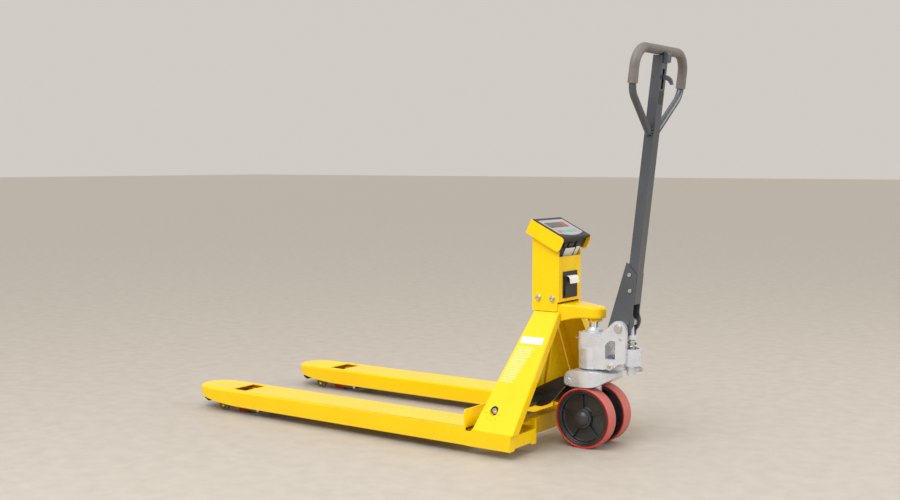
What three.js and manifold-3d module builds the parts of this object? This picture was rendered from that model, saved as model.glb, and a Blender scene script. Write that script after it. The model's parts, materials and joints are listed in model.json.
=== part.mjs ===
// Hand pallet truck with a built-in weighing scale. Millimetres, +Z up.
// The forks point along -X and the operator stands at +X. Left and right are the operator's: left is -Y.
// The origin is on the floor, under the centre of the whole truck's bounding box.
import * as THREE from 'three';
import * as BufferGeometryUtils from 'three/addons/utils/BufferGeometryUtils.js';
import Module from 'manifold-3d';

const wasm = await Module();
wasm.setup();

// ---------- Driving dimensions ----------
const GAP = 0.3; // running or assembly clearance between two pieces that touch

const overallWidth = 685; // outside to outside of the forks
const forkWidth = 152;
const forkY = (overallWidth - forkWidth) / 2; // fork centreline
const outerY = overallWidth / 2;
const innerY = outerY - forkWidth;
const deckZ = 85; // lowered height of the load surface
const skirtZ = 28; // underside of the frame and the fork covers
const tipX = -860;
const seamX = 345; // where the weighing covers end and the heel starts
const heelX = 508; // rear face of the heel
const heelTopZ = 73;
const sheet = 4; // frame plate thickness

const steerX = 604; // vertical steering axis, also the ram's axis
const wheelRadius = 95;
const wheelWidth = 48;
const wheelY = 52; // centre of each steering wheel
const wheelSides = 30;

const undercarriageY = 263; // centreline of push rods and roller brackets
const shaftX = 422; // rocker shaft
const shaftZ = 135;
const crankX = 452; // rocker to push-rod pin
const crankZ = 56;
const yokePinX = 554; // rocker to thrust-bracket pin
const yokePinZ = 208;
const yokePinRadius = 7.5;
const swingX = -789; // roller bracket pivot in the fork beam
const swingZ = 58;
const linkX = -729; // push-rod pin on the roller bracket
const linkZ = 17;
const rollerX = -647;
const rollerRadius = 37;
const entryX = -822;
const entryZ = 36;
const entryRadius = 15;

const legBendZ = 78; // where the leg folds inwards above the heel
const legTopZ = 420;
const legTopY = 76;
const legFrontBottomX = 370;
const legFrontTopX = 428;
const legRearX = 519;
const legSlope = (outerY - legTopY) / (legTopZ - legBendZ);
const legSkew = Math.hypot(1, legSlope); // horizontal width of a unit of leg plate

const crownTopZ = 446;
const columnFrontX = 418;
const columnRearX = 515;
const columnHalf = 70; // outside of the column's side plates
const columnSheet = 2.5;
const columnBottomZ = 422;

const headX = 424; // top front edge of the tilted head
const headZ = 712;
const headTilt = THREE.MathUtils.degToRad(26);
const headHalf = 89;
const headLength = 134;
const headDepth = 49;

const printerZ = 505; // middle of the printer panel
const printerY = -2;

const pivotX = 711; // handle pivot
const pivotZ = 382;
const handleLean = THREE.MathUtils.degToRad(6.4);
const plateInner = 20.3; // inside of the handle's base plates
const plateOuter = 26.3;
const tubeFront = 0.2; // handle tube, across its own axis
const tubeBack = 31.2;
const tubeHalf = 20;
const plungerX = 735;
const plungerTopZ = 387;
const camX = 734;
const leverX = 7; // lever pin, in the handle's own frame
const leverZ = 770;
const camRadius = 12.7;

// ---------- Materials ----------
function finish(color, roughness, metalness) {
  return new THREE.MeshStandardMaterial({ color, roughness, metalness });
}
const yellowPaint = finish(0xf2c500, 0.35, 0.1);
const blackPaint = finish(0x1d1e20, 0.35, 0.2);
const greyPaint = finish(0x4a4f57, 0.45, 0.4);
const castAluminium = finish(0xc9cbcc, 0.45, 0.6);
const zincSteel = finish(0xb9bcc0, 0.35, 0.9);
const chrome = finish(0xdfe2e5, 0.08, 1);
const polyurethane = finish(0xc62a22, 0.5, 0);
const castIron = finish(0x242628, 0.6, 0.3);
const blackPlastic = finish(0x2a2a2b, 0.5, 0);
const greyRubber = finish(0x6f6a66, 0.7, 0);
const overlayFilm = finish(0xb9bcc8, 0.4, 0);
const redKey = finish(0xd5483c, 0.5, 0);
const greenKey = finish(0x4fae84, 0.5, 0);
const paper = finish(0xf4f4f2, 0.9, 0);

// ---------- Shape helpers ----------
/** A closed geometry as a manifold solid. */
function solid(geometry) {
  const bare = geometry.clone();
  bare.deleteAttribute('normal');
  bare.deleteAttribute('uv');
  const merged = BufferGeometryUtils.mergeVertices(bare, 1e-4);
  return new wasm.Manifold(new wasm.Mesh({
    numProp: 3,
    vertProperties: new Float32Array(merged.attributes.position.array),
    triVerts: new Uint32Array(merged.index.array),
  }));
}

/** A manifold solid as a three.js geometry. */
function geometryOf(manifold) {
  const mesh = manifold.getMesh();
  const geometry = new THREE.BufferGeometry();
  geometry.setAttribute('position', new THREE.BufferAttribute(new Float32Array(mesh.vertProperties), 3));
  geometry.setIndex(new THREE.BufferAttribute(new Uint32Array(mesh.triVerts), 1));
  return geometry;
}

/** Joins solids, each after the first added to it. */
function join(first, ...others) {
  return others.reduce((whole, piece) => whole.add(piece), first);
}

/** Cuts each later solid from the first. */
function cut(first, ...others) {
  return others.reduce((whole, piece) => whole.subtract(piece), first);
}

/** An upright box between two corners. */
function block(x0, x1, y0, y1, z0, z1) {
  const box = new THREE.BoxGeometry(x1 - x0, y1 - y0, z1 - z0);
  box.translate((x0 + x1) / 2, (y0 + y1) / 2, (z0 + z1) / 2);
  return solid(box);
}

/** A closed outline through points [a, b, fillet], each fillet at most half of its shorter edge. */
function outline(points) {
  const shape = new THREE.Shape();
  const corners = points.map(([a, b]) => new THREE.Vector2(a, b));
  const count = points.length;
  corners.forEach((here, i) => {
    const before = corners[(i + count - 1) % count].clone().sub(here);
    const after = corners[(i + 1) % count].clone().sub(here);
    const fillet = Math.min(points[i][2] ?? 0, before.length() * 0.49, after.length() * 0.49);
    const start = here.clone().addScaledVector(before.normalize(), fillet);
    const end = here.clone().addScaledVector(after.normalize(), fillet);
    if (i === 0) shape.moveTo(start.x, start.y);
    else shape.lineTo(start.x, start.y);
    if (fillet > 0) shape.quadraticCurveTo(here.x, here.y, end.x, end.y);
  });
  shape.closePath();
  return shape;
}

/** An outline in (x, y), raised from z0 to z1. */
function slabZ(points, z0, z1, curveSegments = 3) {
  const shape = points instanceof THREE.Shape ? points : outline(points);
  const slab = new THREE.ExtrudeGeometry(shape, { depth: z1 - z0, bevelEnabled: false, curveSegments });
  slab.translate(0, 0, z0);
  return solid(slab);
}

/** An outline in (x, z), run from y0 to y1. */
function slabY(points, y0, y1, curveSegments = 3) {
  const shape = points instanceof THREE.Shape ? points : outline(points);
  const slab = new THREE.ExtrudeGeometry(shape, { depth: y1 - y0, bevelEnabled: false, curveSegments });
  slab.rotateX(Math.PI / 2);
  slab.translate(0, y1, 0);
  return solid(slab);
}

/** An outline in (y, z), run from x0 to x1. */
function slabX(points, x0, x1, curveSegments = 3) {
  const slab = new THREE.ExtrudeGeometry(outline(points), {
    depth: x1 - x0, bevelEnabled: false, curveSegments,
  });
  slab.applyMatrix4(new THREE.Matrix4().makeBasis(
    new THREE.Vector3(0, 1, 0), new THREE.Vector3(0, 0, 1), new THREE.Vector3(1, 0, 0)));
  slab.translate(x0, 0, 0);
  return solid(slab);
}

/** A round bar along Z. */
function barZ(radius, x, y, z0, z1, sides = 18) {
  const bar = new THREE.CylinderGeometry(radius, radius, z1 - z0, sides);
  bar.rotateX(Math.PI / 2);
  bar.translate(x, y, (z0 + z1) / 2);
  return solid(bar);
}

/** A round bar along Y, with a corner at its lowest point. */
function barY(radius, x, z, y0, y1, sides = 18) {
  const bar = new THREE.CylinderGeometry(radius, radius, y1 - y0, sides);
  bar.translate(x, (y0 + y1) / 2, z);
  return solid(bar);
}

/** A round bar along X. */
function barX(radius, y, z, x0, x1, sides = 16) {
  const bar = new THREE.CylinderGeometry(radius, radius, x1 - x0, sides);
  bar.rotateZ(Math.PI / 2);
  bar.translate((x0 + x1) / 2, y, z);
  return solid(bar);
}

/** A body turned about a Y axis through (x, z), from a closed profile of [radius, y]. */
function turnedY(profile, x, y, z, sides = 32) {
  const points = profile.map(([radius, along]) => new THREE.Vector2(radius, along));
  points.push(points[0].clone());
  const lathe = new THREE.LatheGeometry(points, sides);
  lathe.translate(x, y, z);
  return solid(lathe);
}

/** The same solid on the other side of the truck's middle plane. */
function mirrored(manifold) {
  return manifold.mirror([0, 1, 0]);
}

const truck = new THREE.Group();

/** A named mesh of a solid, added to a group. */
function part(name, manifold, material, group = truck) {
  const mesh = new THREE.Mesh(geometryOf(manifold), material);
  mesh.name = name;
  group.add(mesh);
  return mesh;
}

/** A left piece and its mirror image on the right. */
function pair(name, leftManifold, material) {
  part(`left_${name}`, leftManifold, material);
  part(`right_${name}`, mirrored(leftManifold), material);
}

// ---------- Forks ----------
const coverThickness = 4;
const slotLength = 70;
const slotWidth = 112;
const stopTopZ = 138;
const noseTaper = 96; // length over which the cover rounds to its tip
const noseRiseX = tipX + 200; // where the skirt starts to rise towards the tip
const noseZ = 57;

/** Plan outline of a fork cover, drawn at a given inset from the outside. */
function coverPlan(inset, rearX) {
  const half = forkWidth / 2 - inset;
  const nose = tipX + inset;
  const shape = new THREE.Shape();
  shape.moveTo(rearX, -forkY - half);
  shape.lineTo(rearX, -forkY + half);
  shape.lineTo(nose + noseTaper, -forkY + half);
  shape.bezierCurveTo(nose + noseTaper * 0.45, -forkY + half, nose, -forkY + half * 0.72, nose, -forkY);
  shape.bezierCurveTo(nose, -forkY - half * 0.72, nose + noseTaper * 0.45, -forkY - half,
    nose + noseTaper, -forkY - half);
  shape.closePath();
  return shape;
}

/** Folded weighing cover: top, skirts, rounded nose and the upright pallet stop at the heel. */
function weighCover() {
  const side = [
    [tipX - 5, deckZ + 5], [tipX - 5, noseZ], [tipX + 112, 35, 60], [noseRiseX, skirtZ, 60],
    [seamX + 5, skirtZ], [seamX + 5, deckZ + 5],
  ];
  const outside = slabZ(coverPlan(0, seamX), skirtZ - 5, deckZ, 7).intersect(slabY(side, -outerY - 5, 0));
  const inside = slabZ(coverPlan(coverThickness, seamX + 5), skirtZ - 10, deckZ - coverThickness, 7);
  const slot = block(rollerX - slotLength / 2, rollerX + slotLength / 2,
    -forkY - slotWidth / 2, -forkY + slotWidth / 2, deckZ - 10, deckZ + 5);
  const stop = slabX([
    [-outerY, deckZ - 2], [-innerY - 2, deckZ - 2], [-innerY - 2, stopTopZ, 8], [-outerY, stopTopZ, 8],
  ], seamX - coverThickness, seamX);
  return join(cut(outside, inside, slot), stop);
}

const beamHalf = 66;
const beamWall = 4;
const beamTopZ = 70;
const beamBottomZ = 30;
const beamFrontX = -842;
const beamEndX = 500;
const cellLength = 130;
const cellXs = [-525, 205]; // front and rear load cells, at their middles
const cellButton = 45; // from the cell's middle to its load button
const cellY = -forkY - 36;

/** Inner fork beam: an inverted channel that carries the load cells and the rollers. */
function forkBeam() {
  const y0 = -forkY - beamHalf;
  const y1 = -forkY + beamHalf;
  const nose = [
    [beamFrontX, y0 + 46, 20], [beamFrontX + 40, y0], [beamEndX, y0],
    [beamEndX, y1], [beamFrontX + 40, y1], [beamFrontX, y1 - 46, 20],
  ];
  const side = [
    [beamFrontX - 5, beamTopZ + 5], [beamFrontX - 5, entryZ + 20], [beamFrontX + 100, beamBottomZ],
    [beamEndX + 5, beamBottomZ], [beamEndX + 5, beamTopZ + 5],
  ];
  const outside = slabZ(nose, beamBottomZ - 5, beamTopZ).intersect(slabY(side, -outerY, -100));
  const inside = block(beamFrontX + 4, beamEndX + 5, y0 + beamWall, y1 - beamWall,
    beamBottomZ - 10, beamTopZ - beamWall);
  const rollerWell = block(swingX - 20, rollerX + 46, -undercarriageY - 50, -undercarriageY + 50, 60, 80);
  const crankWell = block(seamX - 6, beamEndX + 5, y0 + beamWall, y1 - beamWall, 60, 80);
  const swingHole = barY(7.5 + GAP, swingX, swingZ, y0 - 5, y1 + 5, 16);
  const entryHole = barY(5 + GAP, entryX, entryZ, y0 - 5, y1 + 5, 12);
  const buttonHoles = cellXs.map((x, i) => barZ(17, x + (i ? 1 : -1) * cellButton, cellY, 60, 80, 16));
  return cut(outside, inside, rollerWell, crankWell, swingHole, entryHole, ...buttonHoles);
}

/** Shear-beam load cell, bolted under the beam with its button up against the cover. */
function loadCell(x, end) {
  const top = beamTopZ - beamWall - GAP;
  const body = block(x - cellLength / 2, x + cellLength / 2, cellY - 16, cellY + 16, top - 28, top);
  const waist = barY(9, x, top - 14, cellY - 20, cellY - 9, 16);
  const button = barZ(12, x + end * cellButton, cellY, top - 2, deckZ - coverThickness - GAP, 16);
  const bolts = [20, 45].map((d) => barZ(7, x - end * d, cellY, top - 34, top - 27, 6));
  return join(cut(body, waist), button, ...bolts);
}

pair('weigh_cover', weighCover(), yellowPaint);
pair('fork_beam', forkBeam(), yellowPaint);
pair('front_load_cell', loadCell(cellXs[0], -1), zincSteel);
pair('rear_load_cell', loadCell(cellXs[1], 1), zincSteel);

// ---------- A-frame ----------
/** Slab between two planes that lean with the leg: depth0 and depth1 are measured into the leg. */
function leaningSlab(depth0, depth1, z0 = legBendZ, z1 = legTopZ) {
  const y = (z, depth) => -outerY + (z - legBendZ) * legSlope + depth * legSkew;
  return slabX([[y(z0, depth0), z0], [y(z0, depth1), z0], [y(z1, depth1), z1], [y(z1, depth0), z1]],
    legFrontBottomX - 40, legRearX + 40);
}

/** Pressed leg: leaning web with folded edges, running into the box-shaped heel. */
function leg() {
  const web = slabY([
    [legFrontBottomX, legBendZ], [legRearX - 1, legBendZ], [legRearX, legTopZ], [legFrontTopX, legTopZ],
  ], -outerY - 5, 0).intersect(leaningSlab(0, sheet));
  const rearFold = slabY([
    [legRearX - 1 - sheet, legBendZ], [legRearX - 1, legBendZ], [legRearX, legTopZ], [legRearX - sheet, legTopZ],
  ], -outerY - 5, 0).intersect(leaningSlab(0, 26));
  const frontFold = slabY([
    [legFrontBottomX, legBendZ], [legFrontBottomX + sheet, legBendZ],
    [legFrontTopX + sheet, legTopZ], [legFrontTopX, legTopZ],
  ], -outerY - 5, 0).intersect(leaningSlab(0, 26));
  const outerWall = slabY([
    [seamX + GAP, skirtZ - 1], [heelX, skirtZ - 1], [heelX, heelTopZ, 6], [legRearX - 1, legBendZ + 0.5],
    [legFrontBottomX, legBendZ + 0.5], [legFrontBottomX - 8, heelTopZ, 6], [seamX + GAP, heelTopZ],
  ], -outerY, -outerY + sheet);
  const rearWall = slabX([
    [-outerY, skirtZ - 1], [-outerY + 24, skirtZ - 1, 4], [-outerY + 30, skirtZ + 6, 4],
    [-innerY - 34, skirtZ + 6, 4], [-innerY - 26, skirtZ - 1, 4], [-innerY, skirtZ - 1],
    [-innerY, heelTopZ], [-outerY, heelTopZ],
  ], heelX - sheet, heelX);
  const innerWall = slabY([
    [shaftX - 4, skirtZ - 1], [heelX, skirtZ - 1], [heelX, 103, 5], [heelX - 20, 103, 5],
    [shaftX - 4, heelTopZ + 6, 6],
  ], -innerY - sheet, -innerY);
  const lightening = slabY([[heelX - 62, 80, 3], [heelX - 10, 80, 3], [heelX - 18, 96, 3]],
    -innerY - 10, -innerY + 5);
  const boss = barY(22, shaftX, shaftZ, -318, -281).intersect(leaningSlab(0, 40));
  const shaftHole = barY(14 + GAP, shaftX, shaftZ, -outerY - 5, -150);
  const crownRoom = block(300, 600, -columnHalf + columnSheet, 0, 385, 440);
  return cut(join(web, rearFold, frontFold, outerWall, rearWall, cut(innerWall, lightening), boss),
    shaftHole, crownRoom);
}

/** Shield between the legs, folded along two upright lines, open above the pump. */
function frontPanel() {
  const bottomZ = 92;
  const topZ = 366;
  const rake = (legFrontTopX - legFrontBottomX) / (legTopZ - legBendZ);
  const lean = (z) => legFrontBottomX + 2 + (z - legBendZ) * rake;
  const reach = (z) => outerY - (z - legBendZ) * legSlope - 32 * legSkew;
  const sections = [
    slabY([[lean(bottomZ), bottomZ], [lean(bottomZ) + 3, bottomZ], [lean(topZ) + 3, topZ], [lean(topZ), topZ]],
      -330, 330),
    ...[-62, 54].map((y) => slabY([
      [lean(bottomZ) + 1, bottomZ], [lean(bottomZ) + 10, bottomZ], [lean(topZ) + 10, topZ], [lean(topZ) + 1, topZ],
    ], y, y + 8)),
  ];
  const trapezoid = slabX([
    [-reach(bottomZ), bottomZ], [reach(bottomZ), bottomZ], [reach(topZ), topZ], [-reach(topZ), topZ],
  ], 300, 520);
  return join(...sections).intersect(trapezoid);
}

/** Top arm: a heavy nose that stands on the ram, with a saddle between the column's side plates. */
function crownArm() {
  const noseRadius = 36;
  const saddle = columnHalf - columnSheet - GAP;
  const plan = new THREE.Shape();
  plan.moveTo(legFrontTopX, -saddle);
  plan.lineTo(505, -saddle);
  plan.bezierCurveTo(550, -60, 570, -noseRadius, steerX + 2, -noseRadius);
  plan.absarc(steerX + 2, 0, noseRadius, -Math.PI / 2, Math.PI / 2, false);
  plan.bezierCurveTo(570, noseRadius, 550, 60, 505, saddle);
  plan.lineTo(legFrontTopX, saddle);
  plan.closePath();
  const side = slabY([
    [legFrontTopX, 398], [500, 388], [560, 402, 20], [650, 404, 14], [650, 436, 16], [556, crownTopZ, 30],
    [legFrontTopX, crownTopZ],
  ], -80, 80);
  const arm = slabZ(plan, 380, 460, 6).intersect(side);
  const boss = barZ(21, steerX, 0, 392, 410);
  const cheeks = [-1, 1].map((s) => block(legFrontTopX + 4, 504, s > 0 ? saddle - 8 : -saddle,
    s > 0 ? saddle : 8 - saddle,
    crownTopZ - 2, 482));
  const socket = barZ(15.5 + GAP, steerX, 0, 380, 420);
  const boltHoles = [441, 492].map((x) => barY(6, x, 463, -90, 90, 12));
  return cut(join(arm, boss, ...cheeks), socket, ...boltHoles);
}

/** Box-section tube between the two heels. */
function crossBeam() {
  const reach = innerY - GAP;
  const tube = block(404, 450, -reach, reach, 30, 84);
  return cut(tube, block(408, 446, -reach - 5, reach + 5, 34, 80));
}

pair('leg', leg(), yellowPaint);
part('front_panel', frontPanel(), yellowPaint);
part('crown_arm', crownArm(), yellowPaint);
part('cross_beam', crossBeam(), yellowPaint);

/** Rocker shaft with a socket screw in each end. */
function rockerShaft() {
  const endY = 288;
  const heads = [-1, 1].map((s) => {
    const span = (near, far) => (s > 0 ? [near, far] : [-far, -near]);
    return barY(9, shaftX, shaftZ, ...span(endY, endY + 6));
  });
  const sockets = [-1, 1].map((s) => barY(4, shaftX, shaftZ, ...(s > 0 ? [endY + 2, 340] : [-340, -endY - 2]), 6));
  return cut(join(barY(14, shaftX, shaftZ, -endY - 1, endY + 1), ...heads), ...sockets);
}
part('rocker_shaft', rockerShaft(), zincSteel);

// ---------- Weighing terminal ----------
const across = new THREE.Vector3(Math.cos(headTilt), 0, -Math.sin(headTilt)); // down the sloping face
const into = new THREE.Vector3(-Math.sin(headTilt), 0, -Math.cos(headTilt)); // into the head

/** A point of the head in (x, z), from its distance down the slope and its depth. */
function headPoint(down, depth, radius = 0) {
  return [headX + across.x * down + into.x * depth, headZ + across.z * down + into.z * depth, radius];
}

/** A box in the tilted head. */
function headBlock(down0, down1, y0, y1, depth0, depth1) {
  return slabY([
    headPoint(down0, depth0), headPoint(down0, depth1), headPoint(down1, depth1), headPoint(down1, depth0),
  ], y0, y1);
}

/** Sheet-metal column with an open top and bottom and a window for the printer. */
function indicatorColumn() {
  const roofLine = (x) => headZ - (x - headX) * Math.tan(headTilt) - (headDepth + 1) / Math.cos(headTilt);
  const sideOutline = [
    [columnFrontX, columnBottomZ, 3], [510, columnBottomZ, 10], [510, 452], [columnRearX, 452],
    [columnRearX, roofLine(columnRearX)], [columnFrontX, roofLine(columnFrontX)],
  ];
  const outside = slabY(sideOutline, -columnHalf, columnHalf);
  const inside = block(columnFrontX + columnSheet, columnRearX - columnSheet,
    -columnHalf + columnSheet, columnHalf - columnSheet, 400, 720);
  const rearGap = block(500, 520, -columnHalf + columnSheet, columnHalf - columnSheet, 400, 452);
  const frontGap = block(410, 430, -columnHalf + columnSheet, columnHalf - columnSheet, 400, crownTopZ + 1);
  const headGap = block(500, 520, -columnHalf + columnSheet, columnHalf - columnSheet, 595, 700);
  const window = block(500, 520, printerY - 41, printerY + 41, printerZ - 38, printerZ + 38);
  const boltHoles = [441, 492].map((x) => barY(5 + GAP, x, 463, -90, 90, 12));
  return cut(outside, inside, rearGap, frontGap, headGap, window, ...boltHoles);
}

/** Yellow head cover: two side cheeks and a back plate around the black case. */
function indicatorHead() {
  const cheek = [
    headPoint(0, 0, 2), headPoint(0, headDepth - 2, 8), headPoint(headLength, headDepth, 14),
    headPoint(headLength, 0, 12),
  ];
  const cheeks = [slabY(cheek, -headHalf, -headHalf + 3), slabY(cheek, headHalf - 3, headHalf)];
  const back = headBlock(0, 3, -headHalf, headHalf, 0.5, headDepth - 2.5);
  const floor = headBlock(0, 90, -headHalf, headHalf, headDepth - 4, headDepth - 2);
  const cableHole = headBlock(40, 80, -20, 20, headDepth - 10, headDepth + 5);
  return cut(join(...cheeks, back, floor), cableHole);
}

const caseHalf = headHalf - 3 - GAP;
const keyYs = [-50, -28, -6, 16, 38];
const keyDown = 91;
const caseFaceDown = 121; // black rear face under the lip

/** Outline of the keypad film seen square on, with a bowed edge towards the operator. */
function filmPlan(inset) {
  const plan = new THREE.Shape();
  plan.moveTo(16 + inset, -77 + inset);
  plan.lineTo(103 - inset, -77 + inset);
  plan.quadraticCurveTo(133 - inset, 0, 103 - inset, 77 - inset);
  plan.lineTo(16 + inset, 77 - inset);
  plan.closePath();
  return plan;
}

/** A plate in the head from its plan seen square on, between two depths. */
function headPlate(plan, depth0, depth1) {
  const plate = new THREE.ExtrudeGeometry(plan, {
    depth: depth1 - depth0, bevelEnabled: false, curveSegments: 8,
  });
  plate.translate(0, 0, -depth1);
  plate.applyMatrix4(new THREE.Matrix4().makeBasis(across, new THREE.Vector3(0, 1, 0), into.clone().negate()));
  plate.translate(headX, 0, headZ);
  return solid(plate);
}

/** Black terminal case: lipped top, leaning rear face that drops into the column, film recess and key wells. */
function indicatorCase() {
  const body = slabY([
    headPoint(3 + GAP, -3, 3), headPoint(3 + GAP, headDepth - 4 - GAP), headPoint(caseFaceDown, headDepth - 4 - GAP),
    headPoint(caseFaceDown, 10), headPoint(129, 6, 3), headPoint(130, -3, 7),
  ], -caseHalf, caseHalf);
  const skirt = headBlock(95, caseFaceDown, -columnHalf + 3, columnHalf - 3, headDepth - 10, 76);
  const recess = headPlate(filmPlan(0), -5, -1);
  const wells = keyYs.map((y) => headBlock(keyDown - 6, keyDown + 6, y - 8, y + 8, -2, 3));
  const inside = headBlock(12, 108, -80, 80, 6, headDepth - 8);
  const cableHole = headBlock(50, 70, -10, 10, headDepth - 10, headDepth + 5);
  return cut(join(body, skirt), recess, inside, cableHole, ...wells);
}

/** Printed film over the display and around the keys, in the case's recess. */
function displayOverlay() {
  const film = headPlate(filmPlan(GAP), -2.6, -1 - GAP);
  const windows = keyYs.map((y) => headBlock(keyDown - 6.5, keyDown + 6.5, y - 8.5, y + 8.5, -5, 1));
  return cut(film, ...windows);
}

/** One key cap, free to go down in its well. */
function keyCap(y) {
  return headBlock(keyDown - 5.6, keyDown + 5.6, y - 7.6, y + 7.6, -3, 1.2);
}

part('indicator_column', indicatorColumn(), yellowPaint);
part('indicator_head', indicatorHead(), yellowPaint);
part('indicator_case', indicatorCase(), blackPlastic);
part('display_overlay', displayOverlay(), overlayFilm);
['key_power', 'key_zero', 'key_tare', 'key_total', 'key_print'].forEach((name, i) => {
  part(name, keyCap(keyYs[i]), i === 0 ? redKey : greenKey);
});

part('battery_pack', join(block(424, 452, -60, 60, 520, 588), block(430, 446, -50, -38, 587, 592)), blackPlastic);

/** Through bolt that holds the column to the crown: head and washer on the left, nut on the right. */
function columnBolt(x) {
  const z = 463;
  const washers = [[-columnHalf - 2.3, -columnHalf - GAP], [columnHalf + GAP, columnHalf + 2.3]]
    .map((span) => barY(10, x, z, ...span, 16));
  const head = cut(barY(7.5, x, z, -columnHalf - 10, -columnHalf - 2, 12),
    barY(3.5, x, z, -columnHalf - 12, -columnHalf - 6, 6));
  const nut = barY(8.5, x, z, columnHalf + 2, columnHalf + 9, 6);
  return join(barY(5, x, z, -columnHalf - 3, columnHalf + 12, 12), ...washers, head, nut);
}
part('front_column_bolt', columnBolt(441), zincSteel);
part('rear_column_bolt', columnBolt(492), zincSteel);

// ---------- Printer ----------
const rollX = 489;
const rollZ = 498;
const bezelX = columnRearX + GAP;
const doorX = bezelX + 3 + GAP;
const exitZ = 532; // paper exit

/** Printer frame: bezel on the column and an open-fronted tray for the roll. */
function printerBody() {
  const tray = cut(
    block(464, bezelX + 1, printerY - 40, printerY + 40, printerZ - 37, printerZ + 37),
    block(466, bezelX + 5, printerY - 38, printerY + 38, printerZ - 35, printerZ + 35));
  const bezel = cut(
    block(bezelX, bezelX + 3, printerY - 44, printerY + 44, printerZ - 42, printerZ + 42),
    block(bezelX - 5, bezelX + 5, printerY - 38, printerY + 38, printerZ - 35, printerZ + 35));
  const head = block(500, bezelX + 3, printerY - 38.5, printerY + 38.5, exitZ + 2, printerZ + 36);
  return join(tray, bezel, head);
}

/** Door over the roll: hinged along its lower edge. */
function printerDoor() {
  const panel = block(doorX, doorX + 3, printerY - 37, printerY + 37, printerZ - 37, exitZ - 2);
  const tab = block(doorX + 2, doorX + 7, printerY - 10, printerY + 10, exitZ - 14, exitZ - 6);
  return join(panel, tab);
}

/** Strip of paper that leaves the slot and curls down over the door. */
function paperStrip() {
  const thickness = 0.6;
  const radius = 11;
  const centreX = doorX + 3;
  const centreZ = exitZ - radius + 1;
  const tongueZ = centreZ - 13; // free end of the paper
  const shape = new THREE.Shape();
  shape.moveTo(rollX + 3, rollZ + 17.6);
  shape.lineTo(centreX - 12, centreZ + radius);
  shape.lineTo(centreX, centreZ + radius);
  shape.absarc(centreX, centreZ, radius, Math.PI / 2, 0, true);
  shape.lineTo(centreX + radius + 1.5, tongueZ);
  shape.lineTo(centreX + radius + 1.5 - thickness, tongueZ);
  shape.lineTo(centreX + radius - thickness, centreZ);
  shape.absarc(centreX, centreZ, radius - thickness, 0, Math.PI / 2, false);
  shape.lineTo(centreX - 12, centreZ + radius - thickness);
  shape.lineTo(rollX + 6, rollZ + 16);
  shape.closePath();
  return slabY(shape, printerY - 28.5, printerY + 28.5, 8);
}

part('printer_body', printerBody(), blackPlastic);
part('printer_door', printerDoor(), blackPlastic);
part('paper_roll', join(cut(barY(18, rollX, rollZ, printerY - 28.5, printerY + 28.5),
  barY(6, rollX, rollZ, printerY - 40, printerY + 40, 12)), paperStrip()), paper);

// ---------- Hydraulic lift ----------
const pumpTopZ = 361;
const pumpBottomZ = 247;
const ramRadius = 15.5;
part('ram', barZ(ramRadius, steerX, 0, 234, 420 - GAP), chrome);

/** Thrust bracket under the pump: a dished ring with two ears for the rocker pin. */
function thrustBracket() {
  const profile = slabY([
    [yokePinX - 15, yokePinZ - 8, 8], [yokePinX, yokePinZ - 15, 6], [steerX, 192.5, 30], [640, 194, 20],
    [694, 224, 8], [694, 238], [steerX + 50, 243 - GAP], [yokePinX - 2, 243 - GAP, 12], [yokePinX - 15, 222, 6],
  ], -90, 90);
  const plan = new THREE.Shape();
  plan.moveTo(yokePinX - 16, -76);
  plan.lineTo(steerX - 20, -78);
  plan.bezierCurveTo(steerX + 60, -84, steerX + 91, -44, steerX + 91, 0);
  plan.bezierCurveTo(steerX + 91, 44, steerX + 60, 84, steerX - 20, 78);
  plan.lineTo(yokePinX - 16, 76);
  plan.closePath();
  const body = slabZ(plan, 180, 250, 8).intersect(profile);
  const mouth = block(yokePinX - 30, steerX - 20, -58, 58, 170, 232);
  const flare = block(yokePinX - 30, yokePinX + 4, -58, 58, 170, 260);
  const bore = barZ(27 + GAP, steerX, 0, 170, 260, 28);
  const armRoom = block(steerX - 21, steerX + 4, -58, 58, 170, 226);
  const pinHole = barY(yokePinRadius + GAP, yokePinX, yokePinZ, -90, 90, 16);
  const underside = barZ(33, steerX, 0, 170, 226, 24);
  return cut(body, mouth, flare, bore, armRoom, underside, pinHole);
}

part('thrust_bracket', thrustBracket(), castAluminium);
part('bracket_pin', join(barY(yokePinRadius, yokePinX, yokePinZ, -79, 79, 16),
  barY(11.5, yokePinX, yokePinZ, -81, -78.2, 16), barY(11.5, yokePinX, yokePinZ, 78.2, 81, 16)), zincSteel);

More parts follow.
